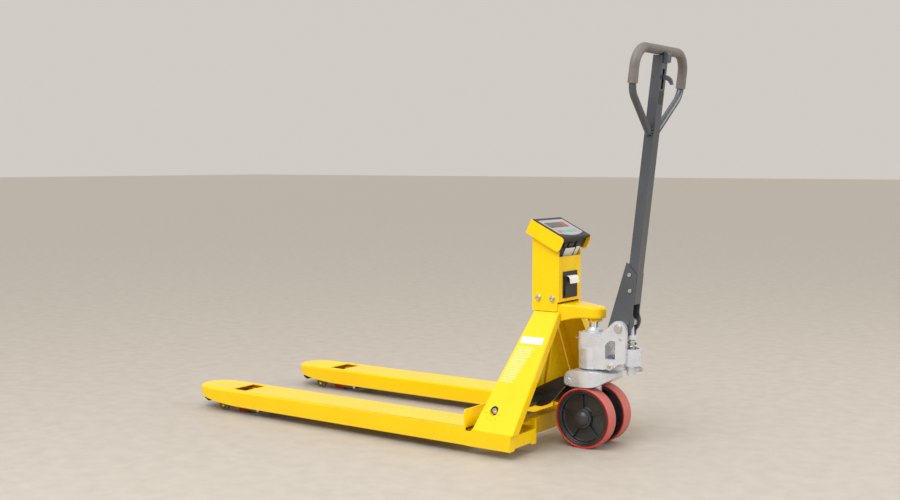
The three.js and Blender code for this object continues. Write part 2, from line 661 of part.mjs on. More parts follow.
/** Pump casting: cylinder block, two cheeks for the handle and the cup for the plunger's spring. */
function pumpBody() {
  const cylinder = barZ(48, steerX, 0, pumpBottomZ, 310, 28);
  const blockTop = slabZ([[566, -43, 16], [652, -43, 4], [652, 43, 4], [566, 43, 16]], 305, pumpTopZ);
  const neck = barZ(27, steerX, 0, 222, pumpBottomZ + 2, 24);
  const lug = slabZ([[634, -46], [664, -46], [664, 46], [634, 46]], 250, 342);
  const cheekOutline = [
    [624, 252, 4], [690, 252, 10], [712, 272, 6], [734, 274, 6], [736, 392, 20], [716, 407, 14],
    [698, 404, 12], [654, pumpTopZ, 4], [624, pumpTopZ],
  ];
  const cheekWindow = [[667, 284, 3], [701, 284, 3], [701, 343, 4], [683, 343, 4], [667, 329, 4]];
  const cheeks = [-46, 30].map((y) => cut(slabY(cheekOutline, y, y + 16), slabY(cheekWindow, y - 5, y + 21)));
  const bridge = block(650, 724, -31, 31, 254, 276);
  const cup = barZ(31, plungerX + 2, 0, 266, 318, 24);
  const pumpBarrel = barZ(15, plungerX, 0, 234, 268, 20);
  const bosses = [-50, 44].map((y) => barY(12, 683, 263, y, y + 6, 18));
  const valve = barX(9, 0, 256, 700, 764, 12);
  const ramBore = barZ(ramRadius + GAP, steerX, 0, 226, 380);
  const seat = barZ(28 + GAP, steerX, 0, pumpTopZ - 8, 380, 20);
  const springWell = barZ(24, plungerX, 0, 284, 330);
  const plungerBore = barZ(9 + GAP, plungerX, 0, 238, 300, 16);
  const pinHoles = barY(11 + GAP, pivotX, pivotZ, -60, 60, 20);
  const whole = join(cylinder, blockTop, neck, lug, ...cheeks, bridge, cup, pumpBarrel, ...bosses, valve);
  const handleRoom = block(664, 760, -30, 30, 276, 420);
  const kept = join(cut(whole, handleRoom), cut(cup, block(600, 800, -60, 60, 318, 400)));
  return cut(kept, ramBore, seat, springWell, plungerBore, pinHoles);
}

/** Screwed gland around the ram. */
function glandNut() {
  const nut = join(barZ(28, steerX, 0, pumpTopZ - 8 + GAP, 371, 20), barZ(22, steerX, 0, 370, 375, 20));
  return cut(nut, barZ(ramRadius + GAP, steerX, 0, 340, 380));
}

part('pump_body', pumpBody(), castAluminium);
part('gland_nut', glandNut(), castAluminium);

const axleRadius = 12;
/** Post under the pump that carries the wheel axle. */
function wheelPost() {
  const foot = slabY([
    [steerX - 26, 76, 14], [steerX + 26, 76, 14], [steerX + 26, 122, 4], [steerX - 26, 122, 4],
  ], -24, 24);
  const post = barZ(26, steerX, 0, 116, 222 - GAP);
  return cut(join(foot, post), barY(axleRadius + GAP, steerX, wheelRadius, -40, 40, 20));
}
part('wheel_post', wheelPost(), castAluminium);
part('wheel_axle', join(barY(axleRadius, steerX, wheelRadius, -79, 79, 20)), zincSteel);

/** Through pin that hinges the handle between the cheeks, cross-drilled for the release rod. */
function pivotPin() {
  const circlips = [-1, 1].map((s) => barY(14, pivotX, pivotZ, ...(s > 0 ? [46 + GAP, 49] : [-49, -46 - GAP]), 20));
  const crossHole = barZ(5, pivotX, 0, pivotZ - 20, pivotZ + 20, 12);
  return cut(join(barY(11, pivotX, pivotZ, -51, 51, 20), ...circlips), crossHole);
}
part('pivot_pin', pivotPin(), zincSteel);

/** Release valve lever between the cheeks. */
part('release_valve', join(barY(7, 683, 306, -22, 22, 16),
  slabY([[679, 306], [687, 306], [701, 330, 3], [694, 334, 3]], -4, 4)), zincSteel);

/** Pump plunger: push rod, spring cap and piston. */
part('plunger', join(barZ(7, plungerX, 0, 355, plungerTopZ - GAP, 16), barZ(18, plungerX, 0, 346, 360, 20),
  barZ(9, plungerX, 0, 276, 348, 16)), castAluminium);

/** Compression spring around the piston. */
function pumpSpring() {
  const turns = 5;
  const bottom = 287;
  const top = 343;
  class Coil extends THREE.Curve {
    getPoint(t, target = new THREE.Vector3()) {
      const angle = t * turns * 2 * Math.PI;
      return target.set(plungerX + 15 * Math.cos(angle), 15 * Math.sin(angle), bottom + (top - bottom) * t);
    }
  }
  const wire = new THREE.Shape();
  wire.absarc(0, 0, 2.4, 0, 2 * Math.PI, false);
  const coil = new THREE.ExtrudeGeometry(wire, {
    extrudePath: new Coil(), steps: turns * 11, bevelEnabled: false, curveSegments: 3,
  });
  return solid(coil);
}
part('pump_spring', pumpSpring(), zincSteel);

// ---------- Steering wheels ----------
const hubRadius = 88;
/** Cast hub: rim, web, boss and five ribs on each face. */
function wheelHub() {
  const half = wheelWidth / 2 - 1;
  const hub = turnedY([
    [axleRadius + GAP, -half], [26, -half], [27, -half + 2], [27, -5], [72, -4], [76, -half], [hubRadius, -half],
    [hubRadius, half], [76, half], [72, 4], [27, 5], [27, half - 2], [26, half], [axleRadius + GAP, half],
  ], 0, 0, 0, wheelSides);
  const ribs = [];
  for (let i = 0; i < 5; i += 1) {
    const angle = (i * 2 * Math.PI) / 5 + 0.12;
    [[-15, -3], [3, 15]].forEach(([y0, y1]) => {
      const rib = new THREE.BoxGeometry(52, y1 - y0, 4.5);
      rib.translate(50, (y0 + y1) / 2, 0);
      rib.rotateY(angle);
      ribs.push(solid(rib));
    });
  }
  return join(hub, ...ribs);
}

/** Polyurethane tread with eased shoulders. */
function wheelTyre() {
  const half = wheelWidth / 2;
  return turnedY([
    [hubRadius + GAP, -half], [wheelRadius - 3, -half], [wheelRadius, -half + 4], [wheelRadius, half - 4],
    [wheelRadius - 3, half], [hubRadius + GAP, half],
  ], 0, 0, 0, wheelSides);
}
const hub = wheelHub();
const tyre = wheelTyre();
[['left', -1], ['right', 1]].forEach(([side, s]) => {
  part(`${side}_wheel_hub`, hub.translate([steerX, s * wheelY, wheelRadius]), castIron);
  part(`${side}_wheel_tyre`, tyre.translate([steerX, s * wheelY, wheelRadius]), polyurethane);
});

// ---------- Handle, built upright at its pivot and leaned back ----------
const handle = new THREE.Group();
handle.position.set(pivotX, 0, pivotZ);
handle.rotation.y = handleLean;
truck.add(handle);

const tubeBottom = 78;
const barHeight = 851; // centre of the loop's top bar
const gripRadius = 15;
const loopRadius = 11;
const tubeTop = barHeight - gripRadius - GAP;
const tubeMiddle = (tubeFront + tubeBack) / 2;

/** Rectangular handle tube with a slot for the lever and the cover block behind the bar. */
function handleTube() {
  const tube = cut(
    block(tubeFront, tubeBack, -tubeHalf, tubeHalf, tubeBottom, tubeTop),
    block(tubeFront + 3, tubeBack - 3, -tubeHalf + 3, tubeHalf - 3, tubeBottom - 5, tubeTop - 3));
  const leverSlot = block(tubeBack - 5, tubeBack + 5, -7, 7, 736, 796);
  const cover = slabY([[tubeBack - 1, 812], [45, 816, 3], [45, 842, 4], [tubeBack + GAP, 846], [tubeBack - 1, 820]],
    -13, 13);
  const pinHole = barY(3 + GAP, leverX, leverZ, -30, 30, 12);
  return join(cut(tube, leverSlot, pinHole), cover);
}

/** Two plates that widen down from the tube to the pivot. */
function handleBase() {
  const plate = outline([
    [-7, 204], [30, 172], [31, 46, 8], [40, 30, 8], [38, 8, 10], [18, -22, 14], [-14, -24, 10], [-48, -22, 6],
    [-46, -8, 4],
  ]);
  const cam = [camX - pivotX, plungerTopZ + camRadius - pivotZ];
  const camAt = [cam[0] * Math.cos(handleLean) - cam[1] * Math.sin(handleLean),
    cam[0] * Math.sin(handleLean) + cam[1] * Math.cos(handleLean)];
  const plates = join(slabY(plate, -plateOuter, -plateInner), slabY(plate, plateInner, plateOuter));
  const frontWeb = slabY([[-7, 200], [-4, 200], [-36, 30], [-39, 30]], -plateInner - 1, plateInner + 1);
  const axle = join(barY(5, ...camAt, -29, 29, 12), barY(7, ...camAt, -28.5, -plateOuter - GAP, 12),
    barY(7, ...camAt, plateOuter + GAP, 28.5, 12));
  return join(cut(join(plates, frontWeb), barY(11 + GAP, 0, 0, -40, 40, 20)), axle);
}

/** Centreline of the hand loop above a given height, in the plane of the handle. */
function loopPath(lowest) {
  const side = 166;
  const corner = 58;
  const path = new THREE.CurvePath();
  const at = (y, w) => new THREE.Vector3(tubeMiddle, y, w);
  const tightness = 0.55;
  if (lowest < 700) {
    path.add(new THREE.LineCurve3(at(-tubeHalf - GAP - 4, 604), at(-side + 22, 704)));
    path.add(new THREE.QuadraticBezierCurve3(at(-side + 22, 704), at(-side, 722), at(-side, 752)));
  }
  const start = Math.max(lowest, 752);
  path.add(new THREE.LineCurve3(at(-side, start), at(-side, barHeight - corner)));
  path.add(new THREE.CubicBezierCurve3(at(-side, barHeight - corner), at(-side, barHeight - corner * (1 - tightness)),
    at(-side + corner * (1 - tightness), barHeight), at(-side + corner, barHeight)));
  path.add(new THREE.LineCurve3(at(-side + corner, barHeight), at(side - corner, barHeight)));
  path.add(new THREE.CubicBezierCurve3(at(side - corner, barHeight), at(side - corner * (1 - tightness), barHeight),
    at(side, barHeight - corner * (1 - tightness)), at(side, barHeight - corner)));
  path.add(new THREE.LineCurve3(at(side, barHeight - corner), at(side, start)));
  if (lowest < 700) {
    path.add(new THREE.QuadraticBezierCurve3(at(side, 752), at(side, 722), at(side - 22, 704)));
    path.add(new THREE.LineCurve3(at(side - 22, 704), at(tubeHalf + GAP + 4, 604)));
  }
  return path;
}

/** A round bar along the loop. */
function alongLoop(path, radius, steps) {
  const section = new THREE.Shape();
  section.absarc(0, 0, radius, 0, 2 * Math.PI, false);
  return solid(new THREE.ExtrudeGeometry(section, {
    extrudePath: path, steps, bevelEnabled: false, curveSegments: 5,
  }));
}

part('handle_tube', handleTube(), greyPaint, handle);
part('handle_base', handleBase(), greyPaint, handle);
const sideRoom = block(-40, 80, -tubeHalf - GAP, tubeHalf + GAP, 560, 820);
part('handle_loop', cut(alongLoop(loopPath(600), loopRadius, 50), sideRoom), greyPaint, handle);
part('handle_grip', cut(alongLoop(loopPath(756), gripRadius, 30), alongLoop(loopPath(600), loopRadius + GAP, 50)),
  greyRubber, handle);

/** Hooked three-position lever with its pin. */
function controlLever() {
  const hook = slabY([
    [leverX - 3, 767, 3], [leverX + 2, 776, 4], [20, 779, 4], [43, 779, 8], [60, 769, 6], [65.8, 752, 2],
    [59, 750, 3],
    [51, 761, 6], [36, 766, 5], [14, 762, 3],
  ], -5, 5);
  return join(hook, barY(3, leverX, leverZ, -21, 21, 12));
}
part('control_lever', controlLever(), greyPaint, handle);
part('release_rod', barZ(3, tubeMiddle, 0, 44, 761.5, 10), zincSteel, handle);

part('cam_roller', cut(barY(camRadius, camX, plungerTopZ + camRadius, -14, 14, 24),
  barY(5 + GAP, camX, plungerTopZ + camRadius, -20, 20, 12)), zincSteel);

// ---------- Rocker and push rods ----------
/** Rocker: torsion tube on the shaft, two arms to the thrust bracket and a crank over each fork. */
function rocker() {
  const tube = barY(22, shaftX, shaftZ, -274, 274, 22);
  const arm = [
    [shaftX - 13, 113, 12], [shaftX + 22, 110, 10], [472, 121, 12], [494, 141, 10], [512, 165, 10],
    [533, 187.2], [545, 190.7], [560, 195, 5], [568, 203, 6], [569, 217, 7], [562, 223, 8],
    [516, 216, 14], [448, 182, 20], [shaftX - 12, 160, 14],
  ];
  const slot = [
    [562.1, 199.6, 7], [545.9, 194.3], [541, 191.8], [528.4, 190.8, 7], [528.2, 204.6, 4], [536.8, 212.4],
    [552, 216.8], [562.1, 217, 7],
  ];
  const arms = [-57, 46].map((y) => cut(slabY(arm, y, y + 11), slabY(slot, y - 5, y + 16)));
  const roof = slabY([
    [shaftX - 4, 154], [452, 172], [505, 203], [503, 209], [449, 179], [shaftX - 8, 160],
  ], -50, 50);
  const crank = [
    [shaftX - 15, shaftZ, 12], [shaftX - 10, shaftZ - 18, 10], [crankX - 14, crankZ - 3, 10],
    [crankX, crankZ - 15, 10],
    [crankX + 14, crankZ - 1, 10], [shaftX + 19, shaftZ - 8, 10], [shaftX + 16, shaftZ + 14, 10],
    [shaftX, shaftZ + 19, 12],
  ];
  const cranks = [-1, 1].flatMap((s) => [-14, 9].map((d) => {
    const y = s * undercarriageY + d;
    return slabY(crank, y, y + 5);
  }));
  const pins = [-1, 1].map((s) => barY(8, crankX, crankZ, s * undercarriageY - 13, s * undercarriageY + 13, 16));
  return cut(join(tube, ...arms, roof, ...cranks, ...pins), barY(14 + GAP, shaftX, shaftZ, -300, 300));
}

const yokeX = -552; // where the push rod joins its yoke
/** Push rod: round bar with an eye at the crank and a yoke whose straps arch over the roller's axle. */
function pushRod() {
  const slope = (crankZ - linkZ) / (crankX - linkX);
  const rodZ = (x) => linkZ + (x - linkX) * slope;
  const y = -undercarriageY;
  const eye = barY(14, crankX, crankZ, y - 8.5, y + 8.5, 20);
  const barStart = new THREE.Vector3(yokeX, y, rodZ(yokeX));
  const barEnd = new THREE.Vector3(crankX - 9, y, rodZ(crankX - 9));
  const bar = new THREE.CylinderGeometry(9, 9, barStart.distanceTo(barEnd), 12);
  bar.rotateZ(Math.PI / 2);
  bar.rotateY(-Math.atan(slope));
  bar.translate(...barStart.clone().lerp(barEnd, 0.5).toArray());
  const cross = block(yokeX - 8, yokeX + 8, y - 55, y + 55, rodZ(yokeX) - 8, rodZ(yokeX) + 8);
  const strap = [
    [yokeX + 8, rodZ(yokeX) - 9, 4], [yokeX + 8, rodZ(yokeX) + 9, 4], [yokeX - 44, rodZ(yokeX) + 9, 6],
    [yokeX - 58, 46, 8], [linkX + 29, 46, 10], [linkX - 18, linkZ + 11.5, 6], [linkX - 18, linkZ - 11.5, 6],
    [linkX + 20, linkZ - 11.5, 6], [linkX + 35, 31, 8], [yokeX - 62, 31, 8], [yokeX - 48, rodZ(yokeX) - 9, 6],
  ];
  const slot = [
    [linkX - 6.5, linkZ - 8, 5], [linkX + 12, linkZ - 8, 5], [linkX + 12, linkZ + 6.5, 5],
    [linkX - 6.5, linkZ + 6.5, 5],
  ];
  const straps = [-54, 47].map((d) => cut(slabY(strap, y + d, y + d + 7), slabY(slot, y + d - 5, y + d + 12)));
  const lugs = [-57, 53].map((d) => barY(10, yokeX, rodZ(yokeX), y + d, y + d + 4, 16));
  return cut(join(eye, solid(bar), cross, ...straps, ...lugs), barY(8 + GAP, crankX, crankZ, y - 20, y + 20, 16));
}

/** Roller bracket: two three-cornered plates, their pivot axle, roller axle and link studs. */
function rollerBracket() {
  const y = -undercarriageY;
  const plate = [
    [swingX - 12, swingZ - 6, 6], [swingX - 9, swingZ + 10, 6], [swingX + 8, swingZ + 10, 6],
    [rollerX + 2, rollerRadius + 13, 12],
    [rollerX + 15, rollerRadius + 2, 10], [rollerX + 8, rollerRadius - 12, 10], [rollerX - 24, 30, 8],
    [linkX + 24, 30, 8], [linkX + 12, linkZ - 9, 6], [linkX - 10, linkZ - 10, 8],
  ];
  const plates = [-43, 36].map((d) => slabY(plate, y + d, y + d + 7));
  const pivot = barY(7.5, swingX, swingZ, -forkY - beamHalf + 0.5, -forkY + beamHalf - 0.5, 16);
  const axle = barY(10, rollerX, rollerRadius, y - 40, y + 40, 16);
  const studs = [-55, 42].map((d) => barY(5, linkX, linkZ, y + d, y + d + 13, 12));
  return join(...plates, pivot, axle, ...studs);
}

/** Load roller: tread on a short drum with a bore for its axle. */
function loadRoller() {
  return turnedY([
    [10 + GAP, -33], [22, -33], [23, -30], [31, -30], [32, -32], [rollerRadius - 2, -32], [rollerRadius, -29],
    [rollerRadius, 29], [rollerRadius - 2, 32], [32, 32], [31, 30], [23, 30], [22, 33], [10 + GAP, 33],
  ], rollerX, -undercarriageY, rollerRadius, 20);
}

/** Small roller in the nose that climbs a pallet's bottom board, with its own axle stubs. */
function entryRoller() {
  const y = -forkY;
  return join(barY(entryRadius, entryX, entryZ, y - 34, y + 34, 20), barY(5, entryX, entryZ, y - 48, y + 48, 12));
}

part('rocker', rocker(), blackPaint);
pair('pushrod', pushRod(), blackPaint);
pair('roller_bracket', rollerBracket(), yellowPaint);
pair('load_roller', loadRoller(), polyurethane);
pair('entry_roller', entryRoller(), blackPlastic);

export default truck;
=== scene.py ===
"""Looks of a hand pallet truck with weighing forks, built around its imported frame.

Every sub-assembly is a class that holds its sizes in millimetres, builds its pieces and dresses them.
"""
from __future__ import annotations

import json
import logging
import math
from dataclasses import dataclass
from enum import Enum
from typing import Callable, Iterable, Sequence

import bmesh
import bpy
from mathutils import Matrix, Vector

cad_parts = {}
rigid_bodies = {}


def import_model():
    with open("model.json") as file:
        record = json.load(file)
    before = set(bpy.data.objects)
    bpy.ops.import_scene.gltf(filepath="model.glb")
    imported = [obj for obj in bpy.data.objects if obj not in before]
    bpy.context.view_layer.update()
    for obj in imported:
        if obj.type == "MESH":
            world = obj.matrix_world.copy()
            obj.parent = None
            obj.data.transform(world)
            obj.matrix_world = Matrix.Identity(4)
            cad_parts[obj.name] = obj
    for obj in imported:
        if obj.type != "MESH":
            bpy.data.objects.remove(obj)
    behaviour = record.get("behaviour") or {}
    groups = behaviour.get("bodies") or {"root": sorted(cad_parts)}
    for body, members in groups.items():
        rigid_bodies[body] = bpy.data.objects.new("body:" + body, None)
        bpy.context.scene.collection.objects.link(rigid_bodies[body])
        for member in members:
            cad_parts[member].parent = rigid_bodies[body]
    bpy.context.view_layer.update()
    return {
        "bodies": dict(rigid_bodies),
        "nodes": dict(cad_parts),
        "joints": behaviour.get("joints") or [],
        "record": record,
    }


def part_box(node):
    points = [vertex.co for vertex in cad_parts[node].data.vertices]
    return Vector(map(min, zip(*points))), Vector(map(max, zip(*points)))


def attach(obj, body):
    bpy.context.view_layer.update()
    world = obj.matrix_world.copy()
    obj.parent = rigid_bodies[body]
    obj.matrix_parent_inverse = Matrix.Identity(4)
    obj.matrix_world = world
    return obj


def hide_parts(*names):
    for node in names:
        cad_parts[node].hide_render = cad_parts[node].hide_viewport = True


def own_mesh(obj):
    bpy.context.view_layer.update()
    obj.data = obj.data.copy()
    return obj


LOG = logging.getLogger("pallet_truck")
MM = 0.001  # metres in a millimetre
GAP = 0.3  # clearance that the frame keeps between touching pieces
FOLD_ANGLE = math.radians(32)  # edges sharper than this are real edges, not facets of a curve

Point = tuple[float, float, float]
Socket = bpy.types.NodeSocket
Tree = bpy.types.NodeTree
Node = bpy.types.Node
Edge = bmesh.types.BMEdge


def linear(code: str) -> tuple[float, float, float, float]:
    """Turns an sRGB hex colour into a linear one.

    Args:
        code: Colour such as "#F4C400".

    Returns:
        Linear red, green, blue and an alpha of 1.
    """
    channels = [int(code[i : i + 2], 16) / 255 for i in (1, 3, 5)]
    curved = [c / 12.92 if c <= 0.04045 else ((c + 0.055) / 1.055) ** 2.4 for c in channels]
    return (curved[0], curved[1], curved[2], 1.0)


def add_node(
    tree: Tree,
    kind: str,
    settings: dict | None = None,
    links: dict | None = None,
) -> Node:
    """Adds a shader node with its settings and links.

    Args:
        tree: Node tree that takes the node.
        kind: Blender's name for the node type.
        settings: Properties or input values; "stops" holds a colour ramp's (position, hex) pairs.
        links: Output sockets that feed the node's inputs, by input name or number.

    Returns:
        The new node.
    """
    node = tree.nodes.new(kind)
    for key, value in (settings or {}).items():
        if key == "stops":
            for element, (position, code) in zip(node.color_ramp.elements, value):
                element.position = position
                element.color = linear(code)
        elif isinstance(key, str) and hasattr(node, key):
            setattr(node, key, value)
        else:
            node.inputs[key].default_value = value
    for key, socket in (links or {}).items():
        tree.links.new(socket, node.inputs[key])
    return node


# ---------- Finishes ----------
@dataclass(frozen=True)
class Finish:
    """A surface finish: what it is made of and how it was made."""

    name: str
    colour: str
    roughness: float
    metallic: float = 0.0
    coat: float = 0.0
    ior: float = 1.5

    def material(self) -> bpy.types.Material:
        """Gives the finish's material, made once."""
        known = bpy.data.materials.get(self.name)
        if known:
            return known
        material = bpy.data.materials.new(self.name)
        material.use_nodes = True
        material.diffuse_color = linear(self.colour)
        tree = material.node_tree
        tree.nodes.clear()
        settings = {
            "Base Color": linear(self.colour),
            "Roughness": self.roughness,
            "Metallic": self.metallic,
            "Coat Weight": self.coat,
            "Coat Roughness": 0.12,
        }
        if self.metallic < 1:
            settings["IOR"] = self.ior
        shader = add_node(tree, "ShaderNodeBsdfPrincipled", settings)
        add_node(tree, "ShaderNodeOutputMaterial", None, {"Surface": shader.outputs["BSDF"]})
        place = add_node(tree, "ShaderNodeTexCoord")
        scale = {"Scale": (1 / MM, 1 / MM, 1 / MM)}
        millimetres = add_node(tree, "ShaderNodeMapping", scale, {"Vector": place.outputs["Object"]})
        self.dress(tree, shader, millimetres.outputs["Vector"])
        return material

    def dress(self, tree: Tree, shader: Node, millimetres: Socket) -> None:
        """Adds the finish's own patterns.

        Args:
            tree: The material's node tree.
            shader: Its principled shader.
            millimetres: Object coordinates in millimetres.
        """
        raise NotImplementedError

    def grain(self, tree: Tree, millimetres: Socket, size: float, detail: float = 2.0) -> Socket:
        """Makes an even grain.

        Args:
            tree: The material's node tree.
            millimetres: Object coordinates in millimetres.
            size: Size of a grain in millimetres.
            detail: Octaves of finer grain on top.

        Returns:
            The grain's height, 0 to 1.
        """
        settings = {"Scale": 1 / size, "Detail": detail, "Roughness": 0.55}
        return add_node(tree, "ShaderNodeTexNoise", settings, {"Vector": millimetres}).outputs["Fac"]

    def relief(
        self, tree: Tree, shader: Node, height: Socket, depth: float, strength: float
    ) -> None:
        """Raises a height pattern on the surface.

        Args:
            tree: The material's node tree.
            shader: Its principled shader.
            height: Pattern, 0 to 1.
            depth: Height of the pattern in millimetres.
            strength: How strongly it shows.
        """
        settings = {"Strength": strength, "Distance": depth * MM}
        bump = add_node(tree, "ShaderNodeBump", settings, {"Height": height})
        tree.links.new(bump.outputs["Normal"], shader.inputs["Normal"])

    def two_tone(
        self, tree: Tree, shader: Node, pattern: Socket, stops: list[tuple[float, str]]
    ) -> None:
        """Lets the base colour drift between two tones with a pattern.

        Args:
            tree: The material's node tree.
            shader: Its principled shader.
            pattern: Pattern, 0 to 1.
            stops: The (position, hex colour) of each tone.
        """
        tone = add_node(tree, "ShaderNodeValToRGB", {"stops": stops}, {"Fac": pattern})
        tree.links.new(tone.outputs["Color"], shader.inputs["Base Color"])

    def vary_roughness(
        self, tree: Tree, shader: Node, pattern: Socket, spread: float
    ) -> None:
        """Lets the roughness drift with a pattern.

        Args:
            tree: The material's node tree.
            shader: Its principled shader.
            pattern: Pattern, 0 to 1.
            spread: How far the roughness moves either way.
        """
        low, high = max(self.roughness - spread, 0.02), self.roughness + spread
        settings = {"From Min": 0.3, "From Max": 0.7, "To Min": low, "To Max": high}
        drift = add_node(tree, "ShaderNodeMapRange", settings, {"Value": pattern})
        tree.links.new(drift.outputs["Result"], shader.inputs["Roughness"])


@dataclass(frozen=True)
class PowderCoat(Finish):
    """Baked powder coat: a fine orange peel, a slight drift of tone, and floor dust low down."""

    shade: str = "#E0AE00"
    dust: str = "#A99A7C"
    peel: float = 4.0
    dust_top: float = 52.0

    def dress(self, tree: Tree, shader: Node, millimetres: Socket) -> None:
        """Adds tone, dust and orange peel."""
        drift = self.grain(tree, millimetres, 220.0)
        tone = add_node(
            tree, "ShaderNodeValToRGB", {"stops": [(0.3, self.shade), (0.65, self.colour)]}, {"Fac": drift}
        )
        axes = add_node(tree, "ShaderNodeSeparateXYZ", None, {"Vector": millimetres})
        low = {"From Min": self.dust_top, "From Max": 0.0, "To Max": 0.3}
        height = add_node(tree, "ShaderNodeMapRange", low, {"Value": axes.outputs["Z"]})
        smear = self.grain(tree, millimetres, 11.0, 6.0)
        patchy = add_node(tree, "ShaderNodeMapRange", {"From Min": 0.42, "From Max": 0.7}, {"Value": smear})
        amount = add_node(
            tree,
            "ShaderNodeMath",
            {"operation": "MULTIPLY"},
            {0: height.outputs["Result"], 1: patchy.outputs["Result"]},
        )
        mixed = add_node(
            tree,
            "ShaderNodeMix",
            {"data_type": "RGBA", 7: linear(self.dust)},
            {0: amount.outputs["Value"], 6: tone.outputs["Color"]},
        )
        tree.links.new(mixed.outputs[2], shader.inputs["Base Color"])
        self.vary_roughness(tree, shader, self.grain(tree, millimetres, 38.0, 4.0), 0.06)
        self.relief(tree, shader, self.grain(tree, millimetres, self.peel, 0.0), 0.04, 0.12)


@dataclass(frozen=True)
class Casting(Finish):
    """Painted sand casting: pebbly skin under the paint, with the paint drifting darker in random patches."""

    shade: str = "#8F9294"
    sand: float = 1.8

    def dress(self, tree: Tree, shader: Node, millimetres: Socket) -> None:
        """Adds cast skin and uneven paint."""
        patches = self.grain(tree, millimetres, 34.0, 3.0)
        self.two_tone(tree, shader, patches, [(0.3, self.shade), (0.7, self.colour)])
        self.vary_roughness(tree, shader, patches, 0.09)
        self.relief(tree, shader, self.grain(tree, millimetres, self.sand, 3.0), 0.2, 0.3)


@dataclass(frozen=True)
class ZincPlate(Finish):
    """Bright zinc plate on steel: clean metal with a faint blue and straw drift and fine scratches."""

    straw: str = "#C9C2AE"

    def dress(self, tree: Tree, shader: Node, millimetres: Socket) -> None:
        """Adds the colour drift and scratches."""
        drift = self.grain(tree, millimetres, 7.0, 3.0)
        self.two_tone(tree, shader, drift, [(0.35, self.colour), (0.65, self.straw)])
        scratch = self.grain(tree, millimetres, 0.9, 6.0)
        self.vary_roughness(tree, shader, scratch, 0.1)
        self.relief(tree, shader, scratch, 0.03, 0.25)


@dataclass(frozen=True)
class HardChrome(Finish):
    """Ground and hard-chromed steel: mirror bright, with grinding rings round the rod."""

    pitch: float = 1.6

    def dress(self, tree: Tree, shader: Node, millimetres: Socket) -> None:
        """Adds grinding rings and a light film of oil."""
        settings = {"wave_type": "BANDS", "bands_direction": "Z", "Scale": 0.31 / self.pitch, "Distortion": 1.2}
        rings = add_node(tree, "ShaderNodeTexWave", settings, {"Vector": millimetres})
        self.vary_roughness(tree, shader, self.grain(tree, millimetres, 9.0, 3.0), 0.04)
        self.relief(tree, shader, rings.outputs["Fac"], 0.01, 0.1)


@dataclass(frozen=True)
class Polyurethane(Finish):
    """Cast polyurethane tyre: clear bright sides and a tread dulled and greyed where it rolls."""

    tread: str = "#C2746B"
    axle_x: float = 0.0
    axle_z: float = 0.0
    radius: float = 95.0

    def dress(self, tree: Tree, shader: Node, millimetres: Socket) -> None:
        """Finds the tread by its distance from the axle and scuffs it."""
        centre = {"Location": (-self.axle_x, 0.0, -self.axle_z), "Scale": (1.0, 0.0, 1.0)}
        hub = add_node(tree, "ShaderNodeMapping", centre, {"Vector": millimetres})
        reach = add_node(tree, "ShaderNodeVectorMath", {"operation": "LENGTH"}, {0: hub.outputs["Vector"]})
        edge = {"From Min": self.radius - 3.0, "From Max": self.radius - 0.8}
        worn = add_node(tree, "ShaderNodeMapRange", edge, {"Value": reach.outputs["Value"]})
        scuff = self.grain(tree, millimetres, 6.0, 6.0)
        patch = add_node(
            tree, "ShaderNodeMapRange", {"From Min": 0.25, "From Max": 0.6, "To Min": 0.45}, {"Value": scuff}
        )
        amount = add_node(
            tree,
            "ShaderNodeMath",
            {"operation": "MULTIPLY"},
            {0: worn.outputs["Result"], 1: patch.outputs["Result"]},
        )
        mixed = add_node(
            tree,
            "ShaderNodeMix",
            {"data_type": "RGBA", 6: linear(self.colour), 7: linear(self.tread)},
            {0: amount.outputs["Value"]},
        )
        tree.links.new(mixed.outputs[2], shader.inputs["Base Color"])
        dull = {"To Min": self.roughness, "To Max": 0.75}
        rough = add_node(tree, "ShaderNodeMapRange", dull, {"Value": amount.outputs["Value"]})
        tree.links.new(rough.outputs["Result"], shader.inputs["Roughness"])
        self.relief(tree, shader, self.grain(tree, millimetres, 1.4, 4.0), 0.08, 0.3)


@dataclass(frozen=True)
class Moulding(Finish):
    """Injection-moulded plastic or rubber: an even fine texture from the tool."""

    shade: str = "#1C1C1D"
    texture: float = 0.9
    depth: float = 0.06

    def dress(self, tree: Tree, shader: Node, millimetres: Socket) -> None:
        """Adds the tool texture and a faint handling sheen."""
        drift = self.grain(tree, millimetres, 45.0, 3.0)
        self.two_tone(tree, shader, drift, [(0.32, self.shade), (0.6, self.colour)])
        self.vary_roughness(tree, shader, drift, 0.06)
        self.relief(tree, shader, self.grain(tree, millimetres, self.texture, 3.0), self.depth, 0.35)


@dataclass(frozen=True)
class Sheetstock(Finish):
    """Paper, printed film or acrylic: flat stock with a very fine fibre or haze."""

    shade: str = "#E4E4E2"
    fibre: float = 1.3

    def dress(self, tree: Tree, shader: Node, millimetres: Socket) -> None:
        """Adds fibre or haze."""
        fibre = self.grain(tree, millimetres, self.fibre, 4.0)
        self.two_tone(tree, shader, fibre, [(0.25, self.shade), (0.5, self.colour)])
        self.vary_roughness(tree, shader, fibre, 0.04)
        self.relief(tree, shader, fibre, 0.02, 0.15)


@dataclass(frozen=True)
class FloatedConcrete(Finish):
    """Power-floated concrete floor: soft clouding and a fine speckle."""

    shade: str = "#B3ACA2"

    def dress(self, tree: Tree, shader: Node, millimetres: Socket) -> None:
        """Adds clouding and speckle."""
        cloud = self.grain(tree, millimetres, 60.0, 12.0)
        self.two_tone(tree, shader, cloud, [(0.3, self.shade), (0.7, self.colour)])
        self.relief(tree, shader, self.grain(tree, millimetres, 5.0, 4.0), 0.2, 0.12)


